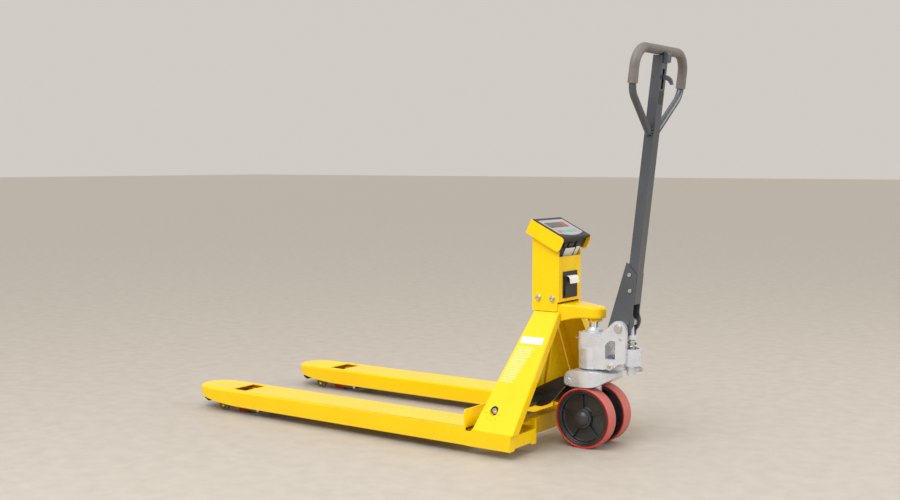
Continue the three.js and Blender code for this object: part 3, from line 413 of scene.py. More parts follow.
class Paint:
    """Every finish on the truck."""

    # Gloss polyester powder coat on folded steel: strong warm yellow with soft broad highlights. Its IOR is
    # below polyester's usual 1.5, and its clear coat thin, so that the pale studio doesn't wash the yellow out.
    YELLOW = PowderCoat("powder_coat_yellow", "#FFD600", 0.27, coat=0.05, ior=1.36, shade="#FFD000")
    # Gloss enamel on the rocker and push rods: near black drifting to a dark grey that is lighter than the enamel,
    # a painted sheen standing in for its broad highlights, with sharp pale highlights from the coat.
    BLACK = PowderCoat("enamel_black", "#424246", 0.25, coat=1.0, shade="#1E1E20", dust="#57534C", peel=3.0)
    # Satin powder coat on the tiller: blue-grey charcoal, soft highlights.
    CHARCOAL = PowderCoat("powder_coat_charcoal", "#5C6168", 0.3, 0.45, coat=0.3, shade="#50545B", peel=1.8)
    # Silver enamel on grey-iron castings: pale grey with a metallic lift.
    SILVER = Casting("enamel_silver_casting", "#E4E8F0", 0.3, 0.5, coat=0.3, shade="#D6DAE2")
    # Black enamel on the cast wheel centres: dull black with a pebbly skin.
    HUB = Casting("enamel_black_casting", "#303134", 0.34, coat=0.3, shade="#222325", sand=2.6)
    # Bright zinc plate on turned steel: clean bluish metal with a straw tint in places.
    ZINC = ZincPlate("zinc_plate", "#D8DCE2", 0.32, metallic=1.0)
    # Hard chrome on the ground ram: a mirror with faint rings.
    CHROME = HardChrome("hard_chrome", "#E4E6E8", 0.07, metallic=1.0)
    # Cast polyurethane on the steering wheels and load rollers: bright red sides, a dulled pink tread.
    TYRE = Polyurethane("polyurethane_red", "#D0231E", 0.32, axle_x=604.0, axle_z=95.0, radius=95.0)
    ROLLER = Polyurethane("polyurethane_roller", "#B0201E", 0.4, axle_x=-647.0, axle_z=37.0, radius=37.0)
    # Moulded ABS of the terminal and printer: matt black with a fine spark texture.
    ABS = Moulding("abs_black", "#2C2B2A", 0.48)
    # Moulded nylon of the small nose rollers.
    NYLON = Moulding("nylon_black", "#1E1E1F", 0.55, shade="#151516")
    # Dipped vinyl grip: mid grey, soft and slightly dusty.
    VINYL = Moulding("vinyl_grip", "#79736E", 0.5, shade="#6C6763", texture=1.6, depth=0.12)
    # Moulded nylon hub cap: dark grey with a soft sheen.
    CAP = Moulding("nylon_hub_cap", "#3B3C3F", 0.3, shade="#323335")
    # Nitrile seal round the shaft ends: dull black.
    SEAL = Moulding("nitrile_seal", "#141414", 0.6, shade="#0E0E0E")
    # Moulded key caps: flat pastel colour with a soft texture.
    KEY_RED = Moulding("key_red", "#E0564A", 0.45, shade="#CC473C")
    KEY_GREEN = Moulding("key_green", "#58C39A", 0.45, shade="#49AD87")
    # Printed polyester keypad film: mid grey with a hint of lilac and a silk surface.
    FILM = Sheetstock("polyester_film", "#ABA9B1", 0.3, shade="#A09EA7")
    # Smoked and red acrylic over the display: smooth, dark and glossy.
    SMOKED = Sheetstock("acrylic_smoked", "#575249", 0.14, shade="#4C473F", fibre=5.0)
    RED_ACRYLIC = Sheetstock("acrylic_red", "#9A4640", 0.14, shade="#863A35", fibre=5.0)
    # Thermal paper: bright white and matt.
    PAPER = Sheetstock("thermal_paper", "#F5F4F0", 0.8, shade="#ECEBE6")
    # Blank vinyl labels: pale or black, slightly glossy.
    LABEL = Sheetstock("vinyl_label", "#EDEBE4", 0.45, shade="#E3E0D6")
    LABEL_DARK = Sheetstock("vinyl_label_dark", "#2B2B2C", 0.4, shade="#242425")
    # Weld bead under the same powder coat: the same yellow, a touch deeper.
    WELD = PowderCoat("powder_coat_weld", "#FFD200", 0.28, coat=0.05, ior=1.36, shade="#FFCA00", peel=2.0)
    # Power-floated concrete: pale, matt and softly clouded.
    FLOOR = FloatedConcrete("floated_concrete", "#BDB6AC", 0.62)


# ---------- Making pieces ----------
class Axis(Enum):
    """Direction that a turned or extruded shape runs along."""

    X = 0
    Y = 1
    Z = 2

    def turn(self) -> Matrix:
        """Gives the turn that brings +Z to this axis."""
        if self is Axis.X:
            return Matrix.Rotation(math.radians(90), 4, "Y")
        if self is Axis.Y:
            return Matrix.Rotation(math.radians(-90), 4, "X")
        return Matrix.Identity(4)


class Record:
    """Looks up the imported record: which body and slot a node belongs to."""

    def __init__(self, frame: dict) -> None:
        """Reads the bodies and slots.
        """
        groups = frame["record"]["behaviour"]["bodies"]
        self.nodes = frame["nodes"]
        self.bodies = {node: body for body, members in groups.items() for node in members}
        self.slots = {part["node"]: part["material_slot"] for part in frame["record"]["subparts"]}

    def paint(self, node: str, finish: Finish) -> None:
        """Gives a node that keeps its own mesh a finish."""
        self.nodes[node].material_slots[0].material = finish.material()


class Workpiece:
    """A mesh in millimetres that is shaped by bmesh operators and then becomes a piece."""

    def __init__(self, name: str) -> None:
        """Starts an empty piece."""
        self.name = name
        self.mesh = bmesh.new()

    @classmethod
    def copy_of(cls, record: Record, node: str, name: str | None = None) -> Workpiece:
        """Starts a piece from a copy of a node, with its flat faces made whole.

        Args:
            record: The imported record.
            node: Node to copy.
            name: Name of the piece; the node's name with "_skin" if left out.

        Returns:
            The new piece.
        """
        piece = cls(name or f"{node}_skin")
        piece.mesh.from_mesh(record.nodes[node].data)
        bmesh.ops.scale(piece.mesh, vec=(1 / MM,) * 3, verts=piece.mesh.verts)
        bmesh.ops.remove_doubles(piece.mesh, verts=piece.mesh.verts, dist=0.02)
        bmesh.ops.dissolve_limit(
            piece.mesh, angle_limit=math.radians(0.6), verts=piece.mesh.verts, edges=piece.mesh.edges
        )
        for layer in list(piece.mesh.loops.layers.uv.values()):
            piece.mesh.loops.layers.uv.remove(layer)
        return piece

    def block(self, low: Point, high: Point, turn: Matrix | None = None) -> None:
        """Adds a rectangular block between two corners, turned as a whole if asked."""
        size = [b - a for a, b in zip(low, high)]
        middle = Vector([(a + b) / 2 for a, b in zip(low, high)])
        place = (turn or Matrix.Identity(4)) @ Matrix.Translation(middle) @ Matrix.Diagonal((*size, 1.0))
        bmesh.ops.create_cube(self.mesh, size=1.0, matrix=place)

    def bar(self, radius: float, start: Point, end: Point, sides: int = 32, top: float | None = None) -> None:
        """Adds a round or polygonal bar.

        Args:
            radius: Radius at the start.
            start: Middle of its first end.
            end: Middle of its other end.
            sides: Number of sides.
            top: Radius at the end; the same if left out.
        """
        first, last = Vector(start), Vector(end)
        run = last - first
        place = Matrix.Translation((first + last) / 2) @ run.to_track_quat("Z", "Y").to_matrix().to_4x4()
        bmesh.ops.create_cone(
            self.mesh,
            cap_ends=True,
            cap_tris=False,
            segments=sides,
            radius1=radius,
            radius2=radius if top is None else top,
            depth=run.length,
            matrix=place,
        )

    def turned(
        self,
        profile: Sequence[tuple[float, float]],
        centre: Point,
        axis: Axis,
        steps: int = 64,
        closed: bool = True,
    ) -> None:
        """Adds a turned shape.

        Args:
            profile: (radius, distance along the axis) points, in order.
            centre: Point that the distances are measured from.
            axis: Axis of the lathe.
            steps: Steps round the circle.
            closed: Whether the profile closes on itself, as a ring's does.
        """
        fresh = bmesh.new()
        verts = [fresh.verts.new((radius, 0.0, along)) for radius, along in profile]
        pairs = zip(verts, verts[1:] + verts[:1]) if closed else zip(verts, verts[1:])
        edges = [fresh.edges.new(pair) for pair in pairs]
        bmesh.ops.spin(
            fresh,
            geom=verts + edges,
            cent=(0, 0, 0),
            axis=(0, 0, 1),
            angle=2 * math.pi,
            steps=steps,
            use_merge=True,
        )
        bmesh.ops.remove_doubles(fresh, verts=fresh.verts, dist=0.001)
        bmesh.ops.recalc_face_normals(fresh, faces=fresh.faces)
        self.take(fresh, Matrix.Translation(centre) @ axis.turn())

    def tube(self, points: Sequence[tuple[Point, Point, Point]], radius: float, steps: int = 14) -> None:
        """Adds a round bar along a smooth line.

        Args:
            points: (point, handle before, handle after) for each knot of a Bezier line.
            radius: Radius of the bar.
            steps: Steps between two knots.
        """
        curve = bpy.data.curves.new(self.name, "CURVE")
        curve.dimensions = "3D"
        curve.resolution_u = steps
        curve.bevel_depth = radius
        curve.bevel_resolution = 6
        curve.use_fill_caps = True
        spline = curve.splines.new("BEZIER")
        spline.bezier_points.add(len(points) - 1)
        for knot, (here, before, after) in zip(spline.bezier_points, points):
            knot.co, knot.handle_left, knot.handle_right = here, before, after
        holder = bpy.data.objects.new(self.name, curve)
        mesh = bpy.data.meshes.new_from_object(holder)
        fresh = bmesh.new()
        fresh.from_mesh(mesh)
        bmesh.ops.remove_doubles(fresh, verts=fresh.verts, dist=0.001)
        bmesh.ops.recalc_face_normals(fresh, faces=fresh.faces)
        self.take(fresh, Matrix.Identity(4))
        bpy.data.objects.remove(holder)
        bpy.data.curves.remove(curve)
        bpy.data.meshes.remove(mesh)

    def take(self, fresh: bmesh.types.BMesh, place: Matrix) -> None:
        """Moves a separate mesh into place and adds it to this one."""
        bmesh.ops.transform(fresh, matrix=place, verts=fresh.verts)
        spare = bpy.data.meshes.new("spare")
        fresh.to_mesh(spare)
        fresh.free()
        self.mesh.from_mesh(spare)
        bpy.data.meshes.remove(spare)

    def soften(
        self,
        width: float,
        segments: int = 2,
        where: Callable[[Edge], bool] | None = None,
        angle: float = FOLD_ANGLE,
        clamp: bool = True,
    ) -> None:
        """Rounds the real edges.

        Args:
            width: Width of the rounding in millimetres.
            segments: Faces across it.
            where: Picks the edges to round; every real edge if left out.
            angle: Sharpest angle that still counts as a facet of a curve.
            clamp: Whether the rounding shrinks where it would meet other edges.
        """
        edges = [
            edge
            for edge in self.mesh.edges
            if len(edge.link_faces) == 2
            and edge.calc_face_angle(0.0) > angle
            and (where is None or where(edge))
        ]
        bmesh.ops.bevel(
            self.mesh,
            geom=edges,
            offset=width,
            offset_type="OFFSET",
            segments=segments,
            profile=0.5,
            affect="EDGES",
            clamp_overlap=clamp,
            material=-1,
        )

    def finish(
        self,
        finish: Finish,
        body: str,
        slot: str,
        stands_for: Iterable[str] = (),
        smooth: float = 34.0,
    ) -> bpy.types.Object:
        """Turns the shape into a piece that rides on a body.

        Args:
            finish: Its finish.
            body: Body that it rides on.
            slot: Material slot in the record; not used.
            stands_for: Nodes that it replaces.
            smooth: Angle in degrees up to which faces shade as one.

        Returns:
            The finished object.
        """
        bmesh.ops.scale(self.mesh, vec=(MM,) * 3, verts=self.mesh.verts)
        data = bpy.data.meshes.new(self.name)
        self.mesh.to_mesh(data)
        self.mesh.free()
        data.materials.clear()
        data.materials.append(finish.material())
        data.polygons.foreach_set("material_index", [0] * len(data.polygons))
        data.polygons.foreach_set("use_smooth", [True] * len(data.polygons))
        data.set_sharp_from_angle(angle=math.radians(smooth))
        piece = bpy.data.objects.new(self.name, data)
        bpy.context.scene.collection.objects.link(piece)
        even = piece.modifiers.new("even_shading", "WEIGHTED_NORMAL")
        even.keep_sharp = True
        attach(piece, body)
        nodes = tuple(stands_for)
        if nodes:
            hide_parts(*nodes)
        LOG.info("%s: %d faces on %s", self.name, len(data.polygons), body)
        return piece


def reskin(
    record: Record,
    node: str,
    finish: Finish,
    width: float,
    segments: int = 2,
    where: Callable[[Edge], bool] | None = None,
    smooth: float = 34.0,
) -> bpy.types.Object:
    """Replaces a node by a copy with rounded edges.

    Args:
        record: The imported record.
        node: Node to replace.
        finish: Finish of the copy.
        width: Width of the rounding in millimetres.
        segments: Faces across it.
        where: Picks the edges to round; every real edge if left out.
        smooth: Angle in degrees up to which faces shade as one.

    Returns:
        The finished copy.
    """
    piece = Workpiece.copy_of(record, node)
    piece.soften(width, segments, where)
    return piece.finish(finish, record.bodies[node], record.slots[node], [node], smooth)


SIDES = (("left", -1), ("right", 1))


# ---------- Sub-assemblies ----------
@dataclass
class Forks:
    """Weighing covers, inner beams and load cells."""

    deck_z: float = 85.0
    rolled_edge: float = 10.0
    tip_x: float = -860.0

    def build(self, record: Record) -> None:
        """Builds both forks."""
        for side, _ in SIDES:
            self.cover(record, f"{side}_weigh_cover")
            reskin(record, f"{side}_fork_beam", Paint.YELLOW, 1.2)
            record.paint(f"{side}_front_load_cell", Paint.ZINC)
            record.paint(f"{side}_rear_load_cell", Paint.ZINC)

    def cover(self, record: Record, node: str) -> None:
        """Rounds a cover: a generous roll along the deck's outline, a light break everywhere else."""
        piece = Workpiece.copy_of(record, node)
        outer = [abs(v.co.y) for v in piece.mesh.verts]
        low_y, high_y = min(outer), max(outer)

        def on_rim(edge: Edge) -> bool:
            """Tells whether an edge runs round the outside of the deck."""
            if any(abs(v.co.z - self.deck_z) > 0.1 for v in edge.verts):
                return False
            middle = (edge.verts[0].co + edge.verts[1].co) / 2
            at_side = min(abs(abs(middle.y) - low_y), abs(abs(middle.y) - high_y)) < 1.0
            return at_side or middle.x < self.tip_x + 100

        piece.soften(self.rolled_edge, 6, on_rim, math.radians(20), False)
        piece.soften(0.7, 2, lambda edge: edge.calc_length() > 2.0, math.radians(60))
        piece.finish(Paint.YELLOW, "frame", record.slots[node], [node])


@dataclass
class AFrame:
    """Legs, panel, cross beam, crown and rocker shaft."""

    fold: float = 3.0
    shaft: tuple[float, float] = (422.0, 135.0)
    shaft_y: float = 289.0
    heel_x: float = 508.0
    heel_y: float = 342.5
    bend_z: float = 78.0
    top_z: float = 420.0
    slope: float = 0.7792
    ram_x: float = 604.0

    def build(self, record: Record) -> None:
        """Builds the frame above the heels."""
        for side, sign in SIDES:
            self.leg(record, side, sign)
            self.shaft_end(side, sign)
            self.blank_label(side, sign)
        reskin(record, "front_panel", Paint.YELLOW, 1.0)
        reskin(record, "cross_beam", Paint.YELLOW, 2.5, 3)
        self.crown(record)
        reskin(record, "rocker_shaft", Paint.ZINC, 0.8)

    def web_y(self, z: float, sign: int) -> float:
        """Gives the Y of the leg's outer face at a height."""
        return sign * (self.heel_y - (z - self.bend_z) * self.slope)

    def leg(self, record: Record, side: str, sign: int) -> None:
        """Rounds a leg: a press-brake radius along its folds, a light break on its cut edges."""
        node = f"{side}_leg"
        piece = Workpiece.copy_of(record, node)

        def on_fold(edge: Edge) -> bool:
            """Tells whether an edge is a fold of the leaning web or of the heel's box."""
            if edge.calc_length() < 30:
                return False
            ends = [vert.co for vert in edge.verts]
            if all(end.z > self.top_z - 1 for end in ends):
                return False
            rise = abs(ends[0].z - ends[1].z)
            leaning = rise > 30 and all(abs(end.y - self.web_y(end.z, sign)) < 0.6 for end in ends)
            corner = rise > 20 and all(abs(end.y) > self.heel_y - 1 and end.x > self.heel_x - 1 for end in ends)
            return leaning or corner

        piece.soften(self.fold, 4, on_fold, math.radians(25), False)
        piece.soften(0.8, 2, lambda edge: edge.calc_length() > 4.0, math.radians(60))
        piece.finish(Paint.YELLOW, "frame", record.slots[node], [node])

    def crown(self, record: Record) -> None:
        """Rounds the crown's cast arm generously where it stands clear of the column."""
        piece = Workpiece.copy_of(record, "crown_arm")

        def outside(edge: Edge) -> bool:
            """Tells whether an edge is on the outside of the arm's free end."""
            ends = [vert.co for vert in edge.verts]
            off_axis = [math.hypot(end.x - self.ram_x, end.y) for end in ends]
            return min(off_axis) > 30 and min(end.x for end in ends) > 506 and min(end.z for end in ends) > 385

        piece.soften(7.0, 5, outside, math.radians(28), False)
        piece.soften(0.8, 2, lambda edge: edge.calc_length() > 3.0, math.radians(60))
        piece.finish(Paint.YELLOW, "frame", record.slots["crown_arm"], ["crown_arm"], 40.0)

    def shaft_end(self, side: str, sign: int) -> None:
        """Sets the seal round the shaft's end and the plug welds below it."""
        x, z = self.shaft
        face = sign * self.shaft_y
        seal = Workpiece(f"{side}_shaft_seal")
        lip = [(9.6, 0.2), (13.6, 0.2), (13.6, 3.0), (9.6, 1.6)]
        seal.turned([(radius, face + sign * along) for radius, along in lip], (x, 0, z), Axis.Y, 48)
        seal.finish(Paint.SEAL, "frame", "black_plastic")
        welds = Workpiece(f"{side}_plug_welds")
        for degrees in (-20, -55, -90, -125, -165):
            angle = math.radians(degrees)
            height = z + 25.0 * math.sin(angle)
            spot = Vector((x + 25.0 * math.cos(angle), self.web_y(height, sign), height))
            place = Matrix.Translation(spot) @ Matrix.Diagonal((1.5, 0.55, 1.0, 1.0))
            bmesh.ops.create_icosphere(welds.mesh, subdivisions=2, radius=3.0, matrix=place)
        welds.finish(Paint.WELD, "frame", "yellow_paint")

    def blank_label(self, side: str, sign: int) -> None:
        """Lays a plain pale bar, with thin ruled lines under it, on the leg's web."""
        turn = Matrix.Rotation(sign * math.atan(self.slope), 4, "X")
        lines = [(316.0 - 5.2 * i, 1.5, 66.0 - (7.0, 3.0, 10.0, 5.0)[i % 4] - 0.8 * i) for i in range(20)]
        for name, rows in (("label_bar", [(336.0, 25.0, 78.0)]), ("label_lines", lines)):
            piece = Workpiece(f"{side}_{name}")
            for z, height, width in rows:
                left = 370.0 + 58.0 * (z - self.bend_z) / (self.top_z - self.bend_z) + 9.0
                place = Matrix.Translation((left, self.web_y(z, sign), z)) @ turn
                piece.block((0, -0.35, -height / 2), (width, 0.35, height / 2), place)
            piece.finish(Paint.LABEL, "frame", "yellow_paint")


@dataclass
class Terminal:
    """Weighing column, head, case, display and keys."""

    head_x: float = 424.0
    head_z: float = 712.0
    tilt: float = math.radians(26)
    keys: tuple[str, ...] = ("key_power", "key_zero", "key_tare", "key_total", "key_print")

    def face(self, down: float, y: float, depth: float) -> Matrix:
        """Gives the place of a point on the tilted face, with +X down the slope and +Z out of it."""
        turn = Matrix.Rotation(self.tilt, 4, "Y")
        return Matrix.Translation((self.head_x, 0, self.head_z)) @ turn @ Matrix.Translation((down, y, -depth))

    def build(self, record: Record) -> None:
        """Builds the column and its terminal."""
        reskin(record, "indicator_column", Paint.YELLOW, 1.2, 3)
        reskin(record, "indicator_head", Paint.YELLOW, 1.1, 3)
        reskin(record, "indicator_case", Paint.ABS, 1.6, 3)
        reskin(record, "display_overlay", Paint.FILM, 0.25)
        reskin(record, "battery_pack", Paint.ABS, 2.0)
        for node in ("front_column_bolt", "rear_column_bolt"):
            reskin(record, node, Paint.ZINC, 0.7)
        for key in self.keys:
            reskin(record, key, Paint.KEY_RED if key == "key_power" else Paint.KEY_GREEN, 1.2, 3)
        self.display()
        self.rear_face()

    def display(self) -> None:
        """Lays the smoked window and its red filter on the film."""
        window = Workpiece("display_window")
        window.block((34, -64, 2.6), (65, 20, 3.4), self.face(0, 0, 0))
        window.soften(0.3, 2)
        window.finish(Paint.SMOKED, "frame", "black_plastic")
        filter_plate = Workpiece("display_red_filter")
        filter_plate.block((34, 20.3, 2.6), (65, 50, 3.4), self.face(0, 0, 0))
        filter_plate.soften(0.3, 2)
        filter_plate.finish(Paint.RED_ACRYLIC, "frame", "black_plastic")

    def rear_face(self) -> None:
        """Adds the sockets and two blank labels on the case's rear face."""
        base = Matrix.Translation((self.head_x, 0, self.head_z)) @ Matrix.Rotation(self.tilt, 4, "Y")
        sockets = Workpiece("terminal_sockets")
        for y0, y1 in ((-52, -34), (-24, 4), (24, 44)):
            sockets.block((121, y0, -34), (125.5, y1, -22), base)
        sockets.soften(1.0, 2)
        sockets.finish(Paint.ABS, "frame", "black_plastic")
        labels = Workpiece("terminal_labels")
        labels.block((121.1, -26, -73), (121.6, 34, -43), base)
        labels.block((121.1, 41, -73), (121.6, 64, -40), base)
        labels.finish(Paint.LABEL, "frame", "black_plastic")


@dataclass
class TicketPrinter:
    """Panel printer in the column."""

    def build(self, record: Record) -> None:
        """Builds the printer, its door and the paper."""
        reskin(record, "printer_body", Paint.ABS, 0.8)
        reskin(record, "printer_door", Paint.ABS, 0.8)
        paper = Workpiece.copy_of(record, "paper_roll")
        paper.finish(Paint.PAPER, "printer_door", record.slots["paper_roll"], ["paper_roll"], 40.0)


@dataclass
class Hydraulics:
    """Thrust bracket, pump, ram and plunger."""

    ram: tuple[float, float] = (604.0, 15.5)
    plunger_x: float = 735.0

    def build(self, record: Record) -> None:
        """Builds the lift."""
        for node, finish, width, segments in (
            ("thrust_bracket", Paint.SILVER, 2.2, 3),
            ("bracket_pin", Paint.SILVER, 0.8, 2),
            ("pump_body", Paint.SILVER, 1.8, 3),
            ("wheel_post", Paint.SILVER, 2.0, 2),
            ("pivot_pin", Paint.ZINC, 0.8, 2),
            ("release_valve", Paint.ZINC, 0.6, 2),
            ("plunger", Paint.SILVER, 0.8, 2),
        ):
            reskin(record, node, finish, width, segments)
        record.paint("wheel_axle", Paint.ZINC)
        self.ram_and_gland(record)
        self.spring(record)
        self.screws()

    def ram_and_gland(self, record: Record) -> None:
        """Turns the ram and the gland nut round it."""
        x, radius = self.ram
        low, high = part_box("ram")
        ram = Workpiece("ram_rod")
        z0, z1 = low.z / MM, high.z / MM
        ram.turned([(0, z0), (radius, z0), (radius, z1), (0, z1)], (x, 0, 0), Axis.Z, 64, False)
        ram.soften(0.8, 2)
        ram.finish(Paint.CHROME, "frame", record.slots["ram"], ["ram"])
        low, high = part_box("gland_nut")
        z0, z1 = low.z / MM, high.z / MM
        bore = radius + GAP
        gland = Workpiece("gland_nut_turned")
        gland.turned(
            [(bore, z0), (28, z0), (28, z1 - 8), (26.5, z1 - 5), (22, z1 - 5), (20, z1), (bore, z1)],
            (x, 0, 0),
            Axis.Z,
        )
        gland.soften(0.7, 2)
        gland.finish(Paint.SILVER, "pump", record.slots["gland_nut"], ["gland_nut"])

    def spring(self, record: Record) -> None:
        """Winds the plunger's spring."""
        low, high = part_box("pump_spring")
        wire = 2.8
        bottom, top = low.z / MM + wire, high.z / MM - wire
        turns, radius = 4, 15.5
        knots = turns * 8
        step = 2 * math.pi / 8
        reach = 4 / 3 * math.tan(step / 4) * radius
        rise = (top - bottom) / knots
        points = []
        for i in range(knots + 1):
            angle = i * step
            here = Vector((self.plunger_x + radius * math.cos(angle), radius * math.sin(angle), bottom + rise * i))
            along = Vector((-math.sin(angle) * reach, math.cos(angle) * reach, rise / 3))
            points.append((here, here - along, here + along))
        coil = Workpiece("pump_spring_wire")
        coil.tube(points, wire, 4)
        wound = coil.finish(Paint.ZINC, "pump", record.slots["pump_spring"], ["pump_spring"])
        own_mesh(wound)

    def screws(self) -> None:
        """Adds plugs, screws and the grease nipple on the castings."""
        heads = Workpiece("pump_screws")
        for start, end, radius in (
            ((683, -50, 263), (683, -54, 263), 6.5),
            ((719, -46, 350), (719, -48.5, 350), 4.0),
            ((563, -30, 340), (556, -30, 340), 5.0),
            ((764, 0, 256), (772, 0, 256), 6.5),
        ):
            heads.bar(radius, start, end, 6)
        heads.soften(0.6, 2)
        heads.finish(Paint.ZINC, "pump", "zinc_steel")
        nose = Workpiece("crown_set_screw")
        nose.bar(5.0, (624, 0, 397.5), (632, 0, 397.5), 6)
        nose.soften(0.7, 2)
        nose.finish(Paint.ZINC, "frame", "zinc_steel")


@dataclass
class SteeringWheels:
    """Twin steering wheels with cast centres."""

    axle: tuple[float, float] = (604.0, 95.0)
    wheel_y: float = 52.0
    half: float = 24.0
    radius: float = 95.0
    hub_radius: float = 88.0
    ribs: int = 5

    def build(self, record: Record) -> None:
        """Builds both wheels."""
        for side, sign in SIDES:
            centre = (self.axle[0], sign * self.wheel_y, self.axle[1])
            self.tyre(record, side, centre)
            self.hub(record, side, centre)
            self.cap(side, sign, centre)

    def tyre(self, record: Record, side: str, centre: Point) -> None:
        """Turns the tyre, with round shoulders."""
        half, inner = self.half, self.hub_radius + GAP
        tyre = Workpiece(f"{side}_tyre_turned")
        tyre.turned(
            [(inner, -half), (self.radius, -half), (self.radius, half), (inner, half)], centre, Axis.Y, 120
        )
        tyre.soften(4.2, 5, lambda edge: all((v.co - Vector(centre)).length > 90 for v in edge.verts))
        node = f"{side}_wheel_tyre"
        tyre.finish(Paint.TYRE, f"{side}_wheel", record.slots[node], [node], 50.0)

    def hub(self, record: Record, side: str, centre: Point) -> None:
        """Turns the cast centre, with a grooved rim, and sets its ribs."""
        edge, bore = self.half - 1, 12.0 + GAP
        face = [
            (bore, edge + 0.6), (29, edge + 0.6), (30.5, edge - 1), (32, 8), (36, 6.5), (70, 6), (74, 8),
            (76, edge - 6), (77.5, edge - 4.5), (80.5, edge - 4.5), (82, edge - 1.2), (83, edge),
            (self.hub_radius, edge),
        ]
        back = [(radius, -along) for radius, along in reversed(face)]
        hub = Workpiece(f"{side}_hub_cast")
        hub.turned(face + back, centre, Axis.Y, 120)
        for i in range(self.ribs):
            turn = Matrix.Translation(centre) @ Matrix.Rotation(2 * math.pi * i / self.ribs - 0.4, 4, "Y")
            for low, high in ((4.0, 16.0), (-16.0, -4.0)):
                hub.block((28, low, -2.3), (76, high, 2.3), turn)
        hub.soften(0.9, 2)
        node = f"{side}_wheel_hub"
        hub.finish(Paint.HUB, f"{side}_wheel", record.slots[node], [node])

    def cap(self, side: str, sign: int, centre: Point) -> None:
        """Presses the domed cap over the axle's end."""
        face = sign * (self.half - 0.2)
        dome = [(0, 11.0), (8, 10.4), (15, 8.4), (20, 5.2), (23, 1.8), (23.5, 0.0), (0, 0.0)]
        cap = Workpiece(f"{side}_hub_cap")
        cap.turned([(r, face + sign * along) for r, along in dome], centre, Axis.Y, 48, False)
        cap.finish(Paint.CAP, f"{side}_wheel", "black_plastic", smooth=50.0)


@dataclass
class Tiller:
    """Steering handle, leaned back on its pivot."""

    pivot: tuple[float, float] = (711.0, 382.0)
    lean: float = math.radians(6.4)
    middle: float = 15.7
    half_width: float = 166.0
    bar_height: float = 851.0
    corner: float = 58.0
    elbow: float = 752.0

    def place(self) -> Matrix:
        """Gives the handle's own frame: +Z up its tube."""
        return Matrix.Translation((self.pivot[0], 0, self.pivot[1])) @ Matrix.Rotation(self.lean, 4, "Y")

    def build(self, record: Record) -> None:
        """Builds the handle."""
        reskin(record, "handle_tube", Paint.CHARCOAL, 2.2, 3)
        reskin(record, "handle_base", Paint.CHARCOAL, 1.0, 2)
        reskin(record, "control_lever", Paint.CHARCOAL, 1.0, 2)
        reskin(record, "cam_roller", Paint.ZINC, 1.0, 2)
        record.paint("release_rod", Paint.ZINC)
        self.loop(record)
        self.trim()

    def knots(self, lowest: float) -> list[tuple[Vector, Vector, Vector]]:
        """Gives the loop's centreline as Bezier knots from one end to the other.

        Args:
            lowest: Height above the pivot where it starts; below 700 it takes in the lower arms.

        Returns:
            (point, handle before, handle after) for each knot, in the truck's frame.
        """
        place, side, top, bend = self.place(), self.half_width, self.bar_height, self.corner * 0.55
        half: list[tuple[tuple[float, float], tuple[float, float], tuple[float, float]]] = []
        if lowest < 700:
            half.append(((-24, 604), (-24, 604), (-64, 637)))
            half.append(((-144, 704), (-104, 671), (-158.7, 716)))
            half.append(((-side, self.elbow), (-side, 734), (-side, 765)))
        else:
            half.append(((-side, lowest), (-side, lowest), (-side, lowest + 8)))
        rise = top - self.corner
        half.append(((-side, rise), (-side, rise - 10), (-side, rise + bend)))
        inner = -side + self.corner
        half.append(((inner, top), (inner - bend, top), (inner + 40, top)))
        rest = [((-p[0], p[1]), (-b[0], b[1]), (-a[0], a[1])) for p, a, b in reversed(half)]
        return [
            tuple(place @ Vector((self.middle, y, w)) for y, w in (point, before, after))
            for point, before, after in half + rest
        ]

    def loop(self, record: Record) -> None:
        """Bends the hand loop and draws the grip over it."""
        loop = Workpiece("hand_loop_bent")
        loop.tube(self.knots(604.0), 11.0)
        loop.finish(Paint.CHARCOAL, "handle", record.slots["handle_loop"], ["handle_loop"], 50.0)
        grip = Workpiece("grip_dipped")
        grip.tube(self.knots(746.0), 14.6)
        grip.soften(2.0, 3, angle=math.radians(50))
        place = self.place()
        for sign in (-1, 1):
            ends = [tuple(place @ Vector((self.middle, sign * self.half_width, w))) for w in (744.0, 770.0)]
            grip.bar(15.0, ends[0], ends[1], 40)
        grip.finish(Paint.VINYL, "handle", record.slots["handle_grip"], ["handle_grip"], 50.0)

    def trim(self) -> None:
        """Adds the blank label, rivets and weld beads."""
        place = self.place()
        label = Workpiece("handle_label")
        label.block((31.3, -14, 690), (31.7, 14, 730), place)
        label.finish(Paint.LABEL_DARK, "handle", "charcoal_paint")
        beads = Workpiece("loop_welds")
        for sign in (-1, 1):
            for i in range(10):
                angle = 2 * math.pi * i / 10
                across, along = 11.5 * math.cos(angle), 13 * math.sin(angle)
                spot = place @ Vector((self.middle + across, sign * 21.0, 607 + along))
                bmesh.ops.create_icosphere(beads.mesh, subdivisions=2, radius=3.2, matrix=Matrix.Translation(spot))
        beads.finish(Paint.CHARCOAL, "handle", "charcoal_paint")
        rivets = Workpiece("handle_base_bolts")
        for sign in (-1, 1):
            for x, w in ((8, 168), (16, 120)):
                start = place @ Vector((x, sign * 26.0, w))
                end = place @ Vector((x, sign * 30.5, w))
                rivets.bar(6.5, tuple(start), tuple(end), 6)
        rivets.soften(0.7, 2)
        rivets.finish(Paint.ZINC, "handle", "zinc_steel")


